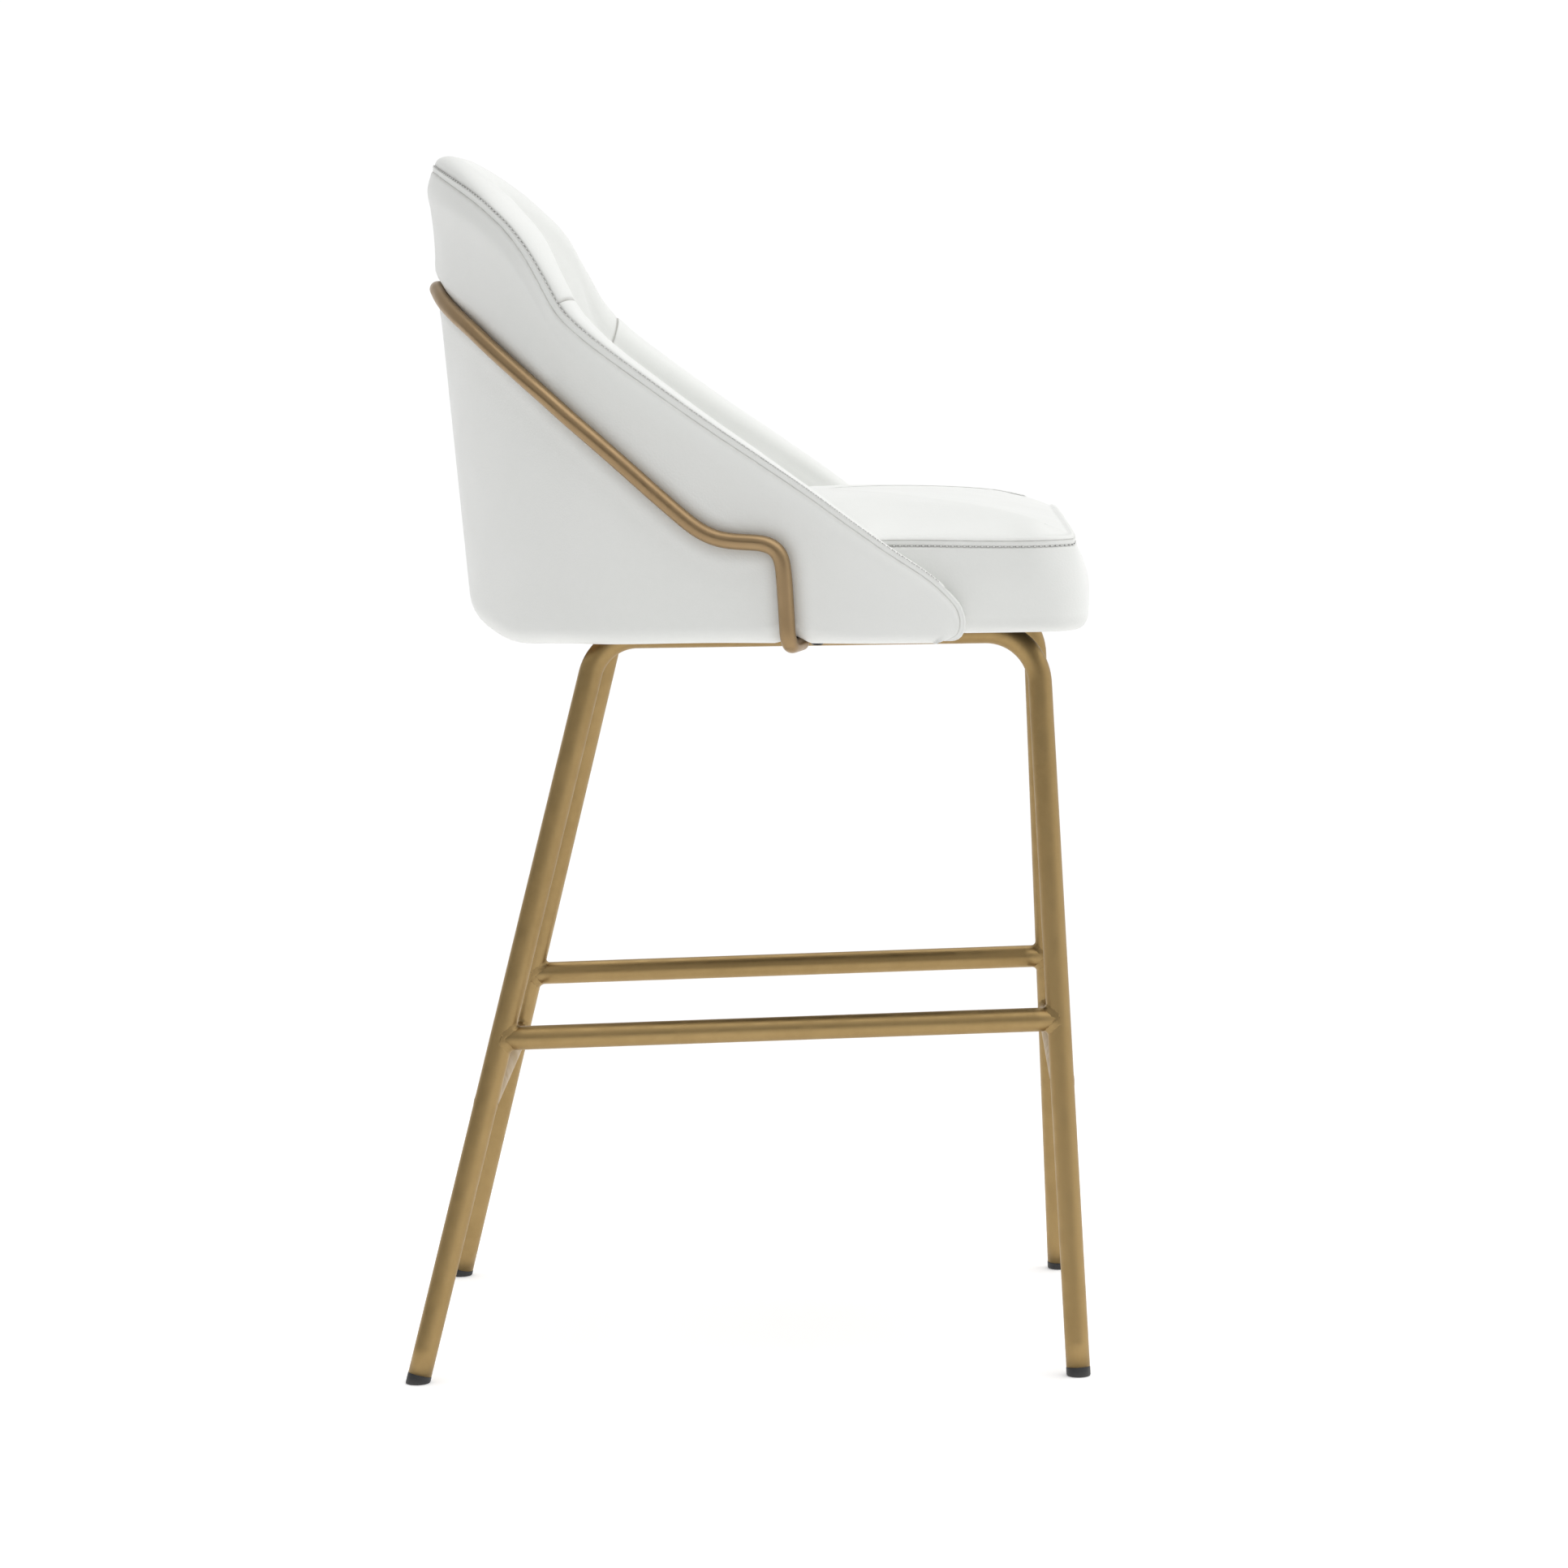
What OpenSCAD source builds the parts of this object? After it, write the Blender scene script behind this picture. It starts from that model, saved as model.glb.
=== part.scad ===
// Counter stool with a footrest frame, an upholstered seat and a low winged back.
// Millimetres. +Z is up, the stool faces -Y, and X is its mirror axis. The origin is on
// the floor under the middle of the stool. Left and right are as seen from the front.
// Seat: plywood board, foam block, side band and top panel. Back: bent plywood shell,
// foam, covers, piping. Frame: two bent side tubes, two foot rails, two crossbars.

/* [Tube frame] */
// Outside radius of the frame tube
tube_r = 9; // [8.5:0.5:9.5]
// Wall thickness of the frame tube
tube_wall = 1.5; // [1.2:0.1:2]
// Centreline radius of the two bends in each side tube
bend_r = 37; // [32:1:40]
// Height of the straight top run, at its centreline
top_z = 559.5;
// Half width of the stance, at the centre of each foot
foot_x = 192.5; // [185:0.5:200]
// Half width between the top runs
top_x = 131.4; // [125:0.2:135]
// Front foot, distance from the middle of the stool
front_foot_y = -246;
// Rear foot, distance from the middle of the stool
rear_foot_y = 254;
// How far the front leg leans back between floor and top
front_lean = 17.9; // [10:0.1:25]
// How far the rear leg leans forward between floor and top
rear_lean = 145.7; // [140:0.1:150]

/* [Footrest] */
// Height of the side rails at the front legs
rail_front_z = 267.8; // [262:0.2:272]
// Height of the side rails at the rear legs
rail_rear_z = 258.4; // [254:0.2:262]
// Height of the front crossbar
front_bar_z = 221; // [215:1:225]
// Height of the rear crossbar
rear_bar_z = 210; // [205:1:215]
// Visible height of the foot caps
cap_h = 7; // [5:1:9]

/* [Seat] */
// Half width of the seat, over its cover
seat_half_w = 222;
// Front edge of the seat at the middle
seat_front_y = -263.3;
// Bow of the front edge
seat_bow = 7; // [2:1:10]
// Corner radius of the seat front
seat_corner = 34; // [25:1:40]
// Height of the seat seam
seam_z = 631.5;
// Rise of the cushion crown above the seam
crown = 31; // [20:1:33]
// Underside of the seat board
board_z = 569.7;
// Thickness of the seat board
board_t = 15;
// Underside of the seat band at the front
band_z = 564.5;

/* [Back shell] */
// Lean of the back from vertical, degrees
lean = 4.6; // [3:0.1:6]
// Rear face of the shell at the height of the seat board
shell_back_y = 215;
// Lower edge of the shell
shell_z = 560.5;
// Padded thickness of the back, over its covers
back_t = 42; // [38:1:44]
// Padded thickness of the wings
wing_t = 20.5;
// Thickness of the bent plywood shell
ply_t = 8; // [6:1:9]
// Thickness of the covers
skin = 1.5;
// Thickness of the piping cord
piping_d = 4.6; // [4:0.2:5]

/* [Wrap rod] */
// Diameter of the brass rod
rod_d = 12; // [10:0.5:12]

/* [Hidden] */
$fn = 48;

brass = "darkgoldenrod";
gap = 0.3;
bar_t = 4;
bar_w = 32;
bar_y = [-150, 55];
bolt_x = 92;

// ---- Side tube: a flat inverted U that leans inward -----------------------------------

splay = atan((foot_x - top_x) / 560);
flat_top = top_z / cos(splay);
rear_a = atan(rear_lean / (560 / cos(splay)));
front_a = atan(front_lean / (560 / cos(splay)));

function rear_y(z) = rear_foot_y - rear_lean * z / 560;
function front_y(z) = front_foot_y + front_lean * z / 560;
function leg_x(z) = foot_x - (foot_x - top_x) * z / 560;

// Stands a drawing in the X-Y plane up into the plane of the right side frame
module frame_plane() {
    translate([foot_x, 0, 0]) rotate([0, -splay, 0]) rotate([90, 0, 90]) children();
}

// Straight rod between two points of the frame plane
module straight(a, b, r) {
    d = b - a;
    translate([a[0], a[1], 0]) rotate([0, 0, atan2(d[1], d[0])]) rotate([0, 90, 0])
        cylinder(r = r, h = norm(d));
}

// Tube between two points, a hair thinner than the bends and reaching into them
FIT = 0.05;
module straight_tube(a, b, reach_a, reach_b) {
    d = (b - a) / norm(b - a);
    difference() {
        straight(a - reach_a * d, b + reach_b * d, tube_r - FIT);
        straight(a - 5 * d, b + 5 * d, tube_r - tube_wall + FIT);
    }
}

module bend(centre, from, sweep) {
    translate([centre[0], centre[1], 0]) rotate([0, 0, from])
        rotate_extrude(angle = sweep) translate([bend_r, 0]) difference() {
            circle(r = tube_r);
            circle(r = tube_r - tube_wall);
        }
}

// One tube bent twice: rear leg, top run, front leg
module side_frame() {
    rc = [rear_foot_y - flat_top * tan(rear_a), flat_top];
    fc = [front_foot_y + flat_top * tan(front_a), flat_top];
    rt = bend_r * tan((90 - rear_a) / 2);
    ft = bend_r * tan((90 - front_a) / 2);
    rd = [-sin(rear_a), cos(rear_a)];
    fd = [sin(front_a), cos(front_a)];
    in = 0.3;
    color(brass) frame_plane() {
        straight_tube([rear_foot_y, 0] + (cap_h + 0.02) * rd, rc - rt * rd, 0, in);
        straight_tube([front_foot_y, 0] + (cap_h + 0.02) * fd, fc - ft * fd, 0, in);
        straight_tube(fc + [ft, 0], rc - [rt, 0], in, in);
        bend([rc[0] - rt, flat_top - bend_r], rear_a, 90 - rear_a);
        bend([fc[0] + ft, flat_top - bend_r], 90, 90 - front_a);
    }
}

module leg(y, a, r, from, to) {
    frame_plane() straight([y, 0] + from * [-sin(a), cos(a)], [y, 0] + to * [-sin(a), cos(a)], r);
}

module cap(y, a) {
    color("black") intersection() {
        union() {
            leg(y, a, tube_r, -8, cap_h);
            leg(y, a, tube_r - tube_wall - 0.2, cap_h - 1, cap_h + 16);
        }
        translate([100, -400, 0]) cube([200, 800, 60]);
    }
}

module foot_rail() {
    k = cos(splay);
    color(brass) difference() {
        frame_plane() straight(
            [front_y(rail_front_z), rail_front_z / k], [rear_y(rail_rear_z), rail_rear_z / k],
            tube_r);
        frame_plane() straight(
            [front_y(rail_front_z) - 1, rail_front_z / k], [rear_y(rail_rear_z) + 1, rail_rear_z / k],
            tube_r - tube_wall);
        leg(front_foot_y, -front_a, tube_r + 0.02, 200, 340);
        leg(rear_foot_y, rear_a, tube_r + 0.02, 200, 340);
    }
}

// Crossbar between the left and right legs, coped to them
module crossbar(y, z, foot_y, a) {
    color(brass) difference() {
        translate([-leg_x(z), y, z]) rotate([0, 90, 0]) cylinder(r = tube_r, h = 2 * leg_x(z));
        translate([-leg_x(z) - 1, y, z]) rotate([0, 90, 0])
            cylinder(r = tube_r - tube_wall, h = 2 * leg_x(z) + 2);
        for (m = [0, 1]) mirror([m, 0, 0]) leg(foot_y, a, tube_r + 0.02, 150, 290);
    }
}

// Flat bar welded between the top runs; the seat bolts pass through it
module seat_bar(y) {
    color("dimgray") difference() {
        translate([4.6 - top_x, y - bar_w / 2, board_z - 1.1 - bar_t])
            cube([2 * top_x - 9.2, bar_w, bar_t]);
        for (m = [0, 1]) mirror([m, 0, 0]) frame_plane()
            straight([-240, flat_top], [160, flat_top], tube_r + 0.02);
        for (x = [-bolt_x, bolt_x]) translate([x, y, board_z - 10]) cylinder(r = 3.4, h = 20);
    }
}

module at_bolts() {
    for (y = bar_y, x = [-bolt_x, bolt_x]) translate([x, y, board_z - 1.1 - bar_t]) children();
}

module seat_bolts() {
    color("gray") at_bolts() {
        translate([0, 0, -5.2]) difference() {
            cylinder(r = 6, h = 3.9);
            translate([0, 0, -1]) cylinder(r = 2.3, h = 3, $fn = 6);
        }
        translate([0, 0, -1.3]) cylinder(r = 3, h = 17);
    }
}

module bolt_washers() {
    color("silver") at_bolts() translate([0, 0, -1.25]) difference() {
        cylinder(r = 8, h = 1.2);
        translate([0, 0, -1]) cylinder(r = 3.3, h = 4);
    }
}

module tee_nuts() {
    color("silver") for (y = bar_y, x = [-bolt_x, bolt_x]) translate([x, y, board_z])
        difference() {
            union() {
                translate([0, 0, board_t - 1.3]) cylinder(r = 9.5, h = 1.2);
                translate([0, 0, 4]) cylinder(r = 4, h = board_t - 5);
            }
            cylinder(r = 3.1, h = board_t + 1);
        }
}

// ---- Plan of the padded shell -----------------------------------------------------------

// Rim of the shell: half width, distance ahead of the rear face, height of the edge seam
RIM = [
    [0, 0, 917], [50, 6, 914], [90, 20.5, 906.5], [130, 44, 893], [156, 63, 878.5],
    [174, 79.5, 857.5], [185, 95, 827], [191, 105, 808], [195.5, 114.5, 790],
    [203, 137, 771], [212, 175, 741.5], [221, 217, 710.5], [230, 254, 684.5],
    [238, 290, 658], [243, 325, 631], [244, 355, 609], [243.8, 369, 596.5], [243.5, 376.5, 586]
];
STEPS = 3;
LAST = (len(RIM) - 1) * STEPS;

function flip(p) = [-p[0], p[1], p[2]];
function rim_knot(i) =
    i < 0 ? flip(RIM[-i]) : i >= len(RIM) ? 2 * RIM[len(RIM) - 1] - RIM[len(RIM) - 2] : RIM[i];
function spline(a, b, c, d, t) =
    0.5 * (2 * b + (c - a) * t + (2 * a - 5 * b + 4 * c - d) * t * t
    + (3 * b - a - 3 * c + d) * t * t * t);
// Rim at a real-valued station, 0 at the back centre and LAST at the nose of the wing
function rim(u) = let (q = min(u, LAST) / STEPS, i = min(floor(q), len(RIM) - 2))
    spline(rim_knot(i - 1), rim_knot(i), rim_knot(i + 1), rim_knot(i + 2), q - i);
function out_dir(u) = u == 0 ? [0, -1] :
    let (t = rim(u + 0.2) - rim(u - 0.2), n = [t[1], -t[0]]) n / norm(n);
function back_y(z) = shell_back_y + (z - board_z) * tan(lean);
// Point of the shell at signed station u, depth d under the outer face and height z
function shell_at(u, d, z) = let (a = abs(u), p = rim(a), n = out_dir(a))
    [sign(u) * (p[0] - d * n[0]), back_y(z) - (p[1] - d * n[1]), z];
function rim_z(u) = rim(abs(u))[2];
function wall_t(u) = let (s = rim(abs(u))[1])
    wing_t + (back_t - wing_t) * max(0, min(1, 1 - (s - 40) / 285));
// Stations from b down to a, the order that turns the faces of a shell layer outwards
function stations(a, b) = [for (u = [b:-1:a]) u];

// Closed solid through a row of equal loops. Its end faces are those listed in "ends",
// each a list of places in the loop, or the whole loop
module loft(loops, ends = []) {
    n = len(loops[0]);
    m = len(loops);
    caps = len(ends) ? ends : [[for (j = [0:n - 1]) j]];
    polyhedron(
        points = [for (l = loops, p = l) p],
        faces = concat(
            caps,
            [for (c = caps) [for (j = [len(c) - 1:-1:0]) (m - 1) * n + c[j]]],
            [for (i = [0:m - 2], j = [0:n - 1])
                [i * n + j, (i + 1) * n + j, i * n + (j + 1) % n]],
            [for (i = [0:m - 2], j = [0:n - 1])
                [(i + 1) * n + j, (i + 1) * n + (j + 1) % n, i * n + (j + 1) % n]]
        ),
        convexity = 10);
}

// Closed solid through a stack of loops, each end fanned from a point inside it
module stack(loops, low, high) {
    n = len(loops[0]);
    m = len(loops);
    polyhedron(
        points = concat([for (l = loops, p = l) p], [low, high]),
        faces = concat(
            [for (j = [0:n - 1]) [m * n, j, (j + 1) % n]],
            [for (j = [0:n - 1]) [m * n + 1, (m - 1) * n + (j + 1) % n, (m - 1) * n + j]],
            [for (i = [0:m - 2], j = [0:n - 1])
                [i * n + j, (i + 1) * n + j, i * n + (j + 1) % n]],
            [for (i = [0:m - 2], j = [0:n - 1])
                [(i + 1) * n + j, (i + 1) * n + (j + 1) % n, i * n + (j + 1) % n]]
        ),
        convexity = 10);
}

// Shell layer between two depths, from height lo up to the rim less a margin
module layer(us, d0, d1, lo, under) {
    loft([for (u = us) [
        shell_at(u, d0, lo), shell_at(u, d1, lo),
        shell_at(u, d1, rim_z(u) - under), shell_at(u, d0, rim_z(u) - under)
    ]]);
}

module shell_board() {
    color("burlywood") difference() {
        layer(stations(-LAST, LAST), skin + gap, skin + gap + ply_t, shell_z + 1.5, 9);
        at_shell_screws() {
            translate([0, 0, -1]) cylinder(r = 4.4, h = 3.7);
            cylinder(r = 2.1, h = 14);
        }
        rod_notches();
    }
}

module outer_cover() {
    color("whitesmoke") difference() {
        layer(stations(-LAST, LAST), 0, skin, shell_z, 3.2);
        rod_notches();
    }
}

PLY_IN = skin + 2 * gap + ply_t;
WING_END = LAST - 4;
FOAM_Z = board_z + board_t + 0.6;

module shell_foam() {
    color("lemonchiffon") loft([for (u = stations(-WING_END, WING_END))
        let (t = wall_t(u) - skin - gap, z = rim_z(u), k = t / 40) [
            shell_at(u, PLY_IN, FOAM_Z),
            shell_at(u, t, FOAM_Z),
            shell_at(u, t, z - 16 * k),
            shell_at(u, t * 0.86, z - 3 * k),
            shell_at(u, t * 0.6, z + 5 * k),
            shell_at(u, max(PLY_IN, t * 0.4), z + 4.8 * k),
            shell_at(u, PLY_IN, z - 4)
        ]]);
}

// Inner panel: rises from the seat, rolls over the rim and ends at the piping
module inner_panel(us) {
    color("white") loft([for (u = us)
        let (t = wall_t(u), z = rim_z(u), k = (t - skin) / 40, s = skin, w = t - skin) [
            shell_at(u, w, FOAM_Z),
            shell_at(u, t, FOAM_Z),
            shell_at(u, t, z - 15 * k),
            shell_at(u, t * 0.88, z - 1 * k + s * 0.4),
            shell_at(u, t * 0.6, z + 6.5 * k + s),
            shell_at(u, t * 0.36, z + 6.5 * k + s),
            shell_at(u, s + 2.4, z + 0.4 + s),
            shell_at(u, s + 2.4, z - 0.6),
            shell_at(u, t * 0.37, z + 6 * k),
            shell_at(u, t * 0.6, z + 6 * k),
            shell_at(u, w * 0.88, z - 2 * k),
            shell_at(u, w, z - 15.5 * k)
        ]], [[0, 1, 2, 11], [11, 2, 3, 10], [10, 3, 4, 9], [9, 4, 5, 8], [8, 5, 6, 7]]);
}

SEAM_U = 8 * STEPS - 1;

function unit(v) = v / norm(v);
// Loop of radius r round each point of a path; n0 is a first guess for its side direction
function frames(pts, i, n0) = i >= len(pts) ? [] :
    let (
        a = pts[max(0, i - 1)], b = pts[min(len(pts) - 1, i + 1)], t = unit(b - a),
        n = unit(n0 - (n0 * t) * t), s = cross(t, n)
    ) concat([[pts[i], n, s]], frames(pts, i + 1, n));
module cord(pts, r, n0, sides) {
    loft([for (f = frames(pts, 0, n0)) [for (j = [0:sides - 1])
        f[0] + r * (cos(360 * j / sides) * f[1] + sin(360 * j / sides) * f[2])]]);
}

module rim_piping() {
    nose = [for (q = [[376.5, 580], [375.2, 574.5], [371.5, 569.5]])
        [RIM[len(RIM) - 1][0] - 0.6, back_y(q[1]) - q[0], q[1]]];
    edge = [for (u = [-LAST:1:LAST]) shell_at(u, 0.9, rim_z(u) - 0.6)];
    color("white") cord(
        concat([for (i = [2:-1:0]) flip(nose[i])], edge, nose), piping_d / 2, [0, 0, 1], 8);
}

// ---- Seat ---------------------------------------------------------------------------------

// Right half of the seat outline at the cover, from the back centre to the front centre
function seat_side(inset) = concat(
    [for (u = [0:2:LAST - 11]) let (p = shell_at(u, wall_t(u) + 0.9 + inset, 584)) [p[0], p[1]]],
    [for (y = [-130, -160]) [seat_half_w - inset, y]],
    [for (a = [0:15:90]) [
        seat_half_w - seat_corner + (seat_corner - inset) * cos(a),
        seat_front_y + seat_bow + seat_corner - (seat_corner - inset) * sin(a)]],
    [for (k = [1:5]) let (x = (seat_half_w - seat_corner) * (1 - k / 5))
        [x, seat_front_y + inset + seat_bow * pow(x / (seat_half_w - seat_corner), 2)]]
);
function seat_outline(inset) = let (h = seat_side(inset), n = len(h))
    concat([for (i = [n - 1:-1:0]) h[i]], [for (i = [1:n - 2]) [-h[i][0], h[i][1]]]);

SEAT_MID = [0, -60];
function ring(inset, c, z) = [for (p = seat_outline(inset))
    [SEAT_MID[0] + c * (p[0] - SEAT_MID[0]), SEAT_MID[1] + c * (p[1] - SEAT_MID[1]), z]];
function dome_z(c, top, edge) = edge + (top - edge) * pow(1 - pow(c, 4), 0.6);
DOME = [0.985, 0.95, 0.88, 0.78, 0.64, 0.45, 0.2];

// Crowned block with the seat's outline, from height lo to its edge and up to the crown
module crowned(inset, lo, edge, top) {
    stack(
        concat([ring(inset, 1, lo)], lo < edge ? [ring(inset, 1, edge)] : [],
            [for (c = DOME) ring(inset, c, dome_z(c, top, edge))]),
        [SEAT_MID[0], SEAT_MID[1], lo], [SEAT_MID[0], SEAT_MID[1], top]);
}

module seat_foam() {
    color("lemonchiffon") crowned(skin + 2 * gap, FOAM_Z, seam_z - 3.4, seam_z + crown - skin - gap);
}

module seat_top_panel() {
    color("white") difference() {
        crowned(gap, seam_z - 2, seam_z - 1, seam_z + crown);
        crowned(skin + gap * 1.5, seam_z - 5, seam_z - 3, seam_z + crown - skin);
    }
}

module band_ring(lo, hi) {
    translate([0, 0, lo]) linear_extrude(hi - lo) difference() {
        polygon(seat_outline(0));
        polygon(seat_outline(skin));
    }
}

// Band round the cushion; ahead of the wings it hangs down over the edge of the board
module seat_band() {
    color("white") {
        band_ring(FOAM_Z, seam_z - 2.3);
        intersection() {
            band_ring(band_z, FOAM_Z + 1);
            translate([-300, -300, band_z - 1]) cube([600, 300 - 164, 60]);
        }
    }
}

// The board: inside the plywood shell at the rear, inside the band ahead of the wings
BOARD_STEP = -159;
module board_plan() {
    rear = [for (u = [0:2:LAST - 1]) let (p = shell_at(u, PLY_IN, board_z + board_t)) [p[0], p[1]]];
    front = [for (p = seat_side(skin + gap)) if (p[1] < BOARD_STEP - 1) p];
    half = concat(rear,
        [[rear[len(rear) - 1][0], BOARD_STEP], [seat_half_w - skin - gap, BOARD_STEP]], front);
    n = len(half);
    polygon(concat(half, [for (i = [n - 2:-1:1]) [-half[i][0], half[i][1]]]));
}

module seat_board() {
    color("burlywood") difference() {
        translate([0, 0, board_z]) linear_extrude(board_t) board_plan();
        for (y = bar_y, x = [-bolt_x, bolt_x]) translate([x, y, board_z]) {
            translate([0, 0, -1]) cylinder(r = 3.4, h = 10);
            translate([0, 0, 3.9]) cylinder(r = 4.1, h = 20);
            translate([0, 0, board_t - 1.4]) cylinder(r = 9.7, h = 5);
        }
        at_shell_screws() cylinder(r = 1.9, h = 25);
        at_rod_screws() cylinder(r = 2.5, h = 30);
    }
}

module dust_cover() {
    color("dimgray") difference() {
        translate([0, 0, board_z - 1]) linear_extrude(0.9) intersection() {
            polygon(seat_outline(16));
            translate([-300, -300]) square([600, 460]);
        }
        for (y = bar_y, x = [-bolt_x, bolt_x]) translate([x, y, board_z - 5]) cylinder(r = 3.6, h = 9);
    }
}

// Screws through the plywood shell into the edge of the seat board
SCREW_U = [-41, -33, -12, 12, 33, 41];
module at_shell_screws() {
    z = board_z + board_t / 2;
    for (u = SCREW_U) let (p = shell_at(u, skin + gap + 0.5, z), n = out_dir(abs(u)))
        translate(p) rotate([0, 0, atan2(n[1], -sign(u) * n[0])]) rotate([0, 90, 0]) children();
}
module shell_screws() {
    color("gray") at_shell_screws() {
        cylinder(r1 = 4, r2 = 1.8, h = 2.4);
        translate([0, 0, 2.4]) cylinder(r = 1.8, h = 20);
    }
}

// ---- Brass rod that wraps the back ---------------------------------------------------------

// Station on the shell and height of each knot of the rod's centreline, right side
ROD = [
    [0, 822.5], [2.6, 821.8], [4.4, 818.8], [6, 808.5], [8.4, 790], [12.5, 766],
    [17, 742.3], [20.3, 730.3], [24, 718.6], [26, 706.4], [28.2, 682.8], [30.2, 657.8],
    [31.3, 645.3], [32.1, 638.6], [33, 636.4], [34, 636.1], [34.8, 635.7], [35.4, 633],
    [35.75, 627], [35.85, 619], [35.85, 600], [35.8, 580]
];
ROD_U = 35.8;
// Height of the run that turns in under the shell, and radius of that turn
HOOK_Z = 558.6;
HOOK_R = 9;
rod_r = rod_d / 2;

function rod_knot(i) = i < 0 ? [-ROD[-i][0], ROD[-i][1]] : ROD[min(i, len(ROD) - 1)];
function rod_point(q) = let (i = min(floor(q), len(ROD) - 2),
    k = spline(rod_knot(i - 1), rod_knot(i), rod_knot(i + 1), rod_knot(i + 2), q - i))
    shell_at(k[0], -rod_r - 0.4, k[1]);
function hook_point(d, z) = shell_at(ROD_U, d, z);
function half_rod() = concat(
    [for (q = [0:1 / 3:len(ROD) - 1]) rod_point(q)],
    [for (a = [0:15:90]) hook_point(
        HOOK_R - rod_r - 0.4 - HOOK_R * cos(a), HOOK_Z + HOOK_R - HOOK_R * sin(a))],
    [hook_point(20, HOOK_Z), hook_point(35, HOOK_Z)]);

module wrap_rod() {
    h = half_rod();
    color("peru") cord(
        concat([for (i = [len(h) - 1:-1:1]) flip(h[i])], h), rod_r, [0, 0, 1], 12);
}

// Notches in the lower edge of the shell where the rod turns in
module rod_notches() {
    for (m = [0, 1]) mirror([m, 0, 0]) {
        p = hook_point(0, HOOK_Z);
        translate([p[0] - 30, p[1], p[2]]) rotate([0, 90, 0]) cylinder(r = rod_r + 0.5, h = 40);
    }
}

TAB_Z = HOOK_Z + rod_r + 0.1;
// Tab welded over the end of the rod and screwed to the seat board
module rod_tab() {
    p = hook_point(24, TAB_Z);
    color("peru") difference() {
        translate([p[0] - 11, p[1] - 24, TAB_Z]) cube([22, 34, board_z - 0.1 - TAB_Z]);
        translate([p[0] + 4, p[1] - 15, TAB_Z - 1]) cylinder(r = 2.7, h = 20);
    }
}

module at_rod_screws() {
    for (m = [0, 1]) mirror([m, 0, 0]) let (p = hook_point(24, TAB_Z))
        translate([p[0] + 4, p[1] - 15, TAB_Z]) children();
}

module rod_screws() {
    color("black") at_rod_screws() {
        translate([0, 0, -7.2]) cylinder(r1 = 3.4, r2 = 5, h = 1.4);
        translate([0, 0, -5.8]) cylinder(r = 5, h = 4.2);
        translate([0, 0, -1.6]) cylinder(r = 6.5, h = 1.5);
        translate([0, 0, -0.1]) cylinder(r = 2.4, h = 17);
    }
}

mirror([1, 0, 0]) side_frame();  // left_side_frame
side_frame();  // right_side_frame
mirror([1, 0, 0]) foot_rail();  // left_foot_rail
foot_rail();  // right_foot_rail
crossbar(front_y(front_bar_z), front_bar_z, front_foot_y, -front_a);  // front_crossbar
crossbar(rear_y(rear_bar_z), rear_bar_z, rear_foot_y, rear_a);  // rear_crossbar
seat_bar(bar_y[0]);  // front_seat_bar
seat_bar(bar_y[1]);  // rear_seat_bar
mirror([1, 0, 0]) cap(front_foot_y, -front_a);  // front_left_cap
cap(front_foot_y, -front_a);  // front_right_cap
mirror([1, 0, 0]) cap(rear_foot_y, rear_a);  // rear_left_cap
cap(rear_foot_y, rear_a);  // rear_right_cap
seat_bolts();
bolt_washers();
tee_nuts();
dust_cover();
seat_board();
seat_foam();
seat_band();
seat_top_panel();
shell_board();
shell_screws();
shell_foam();
outer_cover();
inner_panel(stations(-SEAM_U, SEAM_U));  // back_inner_panel
mirror([1, 0, 0]) inner_panel(stations(SEAM_U + 1, WING_END));  // left_inner_panel
inner_panel(stations(SEAM_U + 1, WING_END));  // right_inner_panel
rim_piping();
wrap_rod();
mirror([1, 0, 0]) rod_tab();  // left_rod_tab
rod_tab();  // right_rod_tab
rod_screws();
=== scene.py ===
"""Looks of the counter stool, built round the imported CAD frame. Lengths are in mm until a mesh is made."""

import math

import bpy
import numpy as np
from mathutils import Matrix, Vector, kdtree

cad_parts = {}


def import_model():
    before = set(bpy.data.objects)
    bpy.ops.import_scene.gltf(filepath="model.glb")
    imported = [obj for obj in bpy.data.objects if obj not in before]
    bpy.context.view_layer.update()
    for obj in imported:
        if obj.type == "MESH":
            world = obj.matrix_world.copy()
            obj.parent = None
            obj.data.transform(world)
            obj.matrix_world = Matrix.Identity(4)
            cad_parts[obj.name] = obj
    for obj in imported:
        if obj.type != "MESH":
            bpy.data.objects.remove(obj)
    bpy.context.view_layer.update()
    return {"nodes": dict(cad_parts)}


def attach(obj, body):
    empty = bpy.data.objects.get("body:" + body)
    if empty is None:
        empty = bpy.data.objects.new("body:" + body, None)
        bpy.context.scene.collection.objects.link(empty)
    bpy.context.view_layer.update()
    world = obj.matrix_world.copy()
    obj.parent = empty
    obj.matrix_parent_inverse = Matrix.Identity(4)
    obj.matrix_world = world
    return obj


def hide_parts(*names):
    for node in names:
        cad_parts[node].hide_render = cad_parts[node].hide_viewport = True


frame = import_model()

MM = 0.001


# ---- Small numeric helpers

def ease(x, lo, hi):
    t = np.clip((np.asarray(x, float) - lo) / (hi - lo), 0, 1)
    return t * t * (3 - 2 * t)


def hump(x, mid, half):
    return np.clip(1 - ((np.asarray(x, float) - mid) / half) ** 2, 0, 1) ** 2


def unit(v):
    return v / np.maximum(np.linalg.norm(v, axis=-1, keepdims=True), 1e-12)


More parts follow.
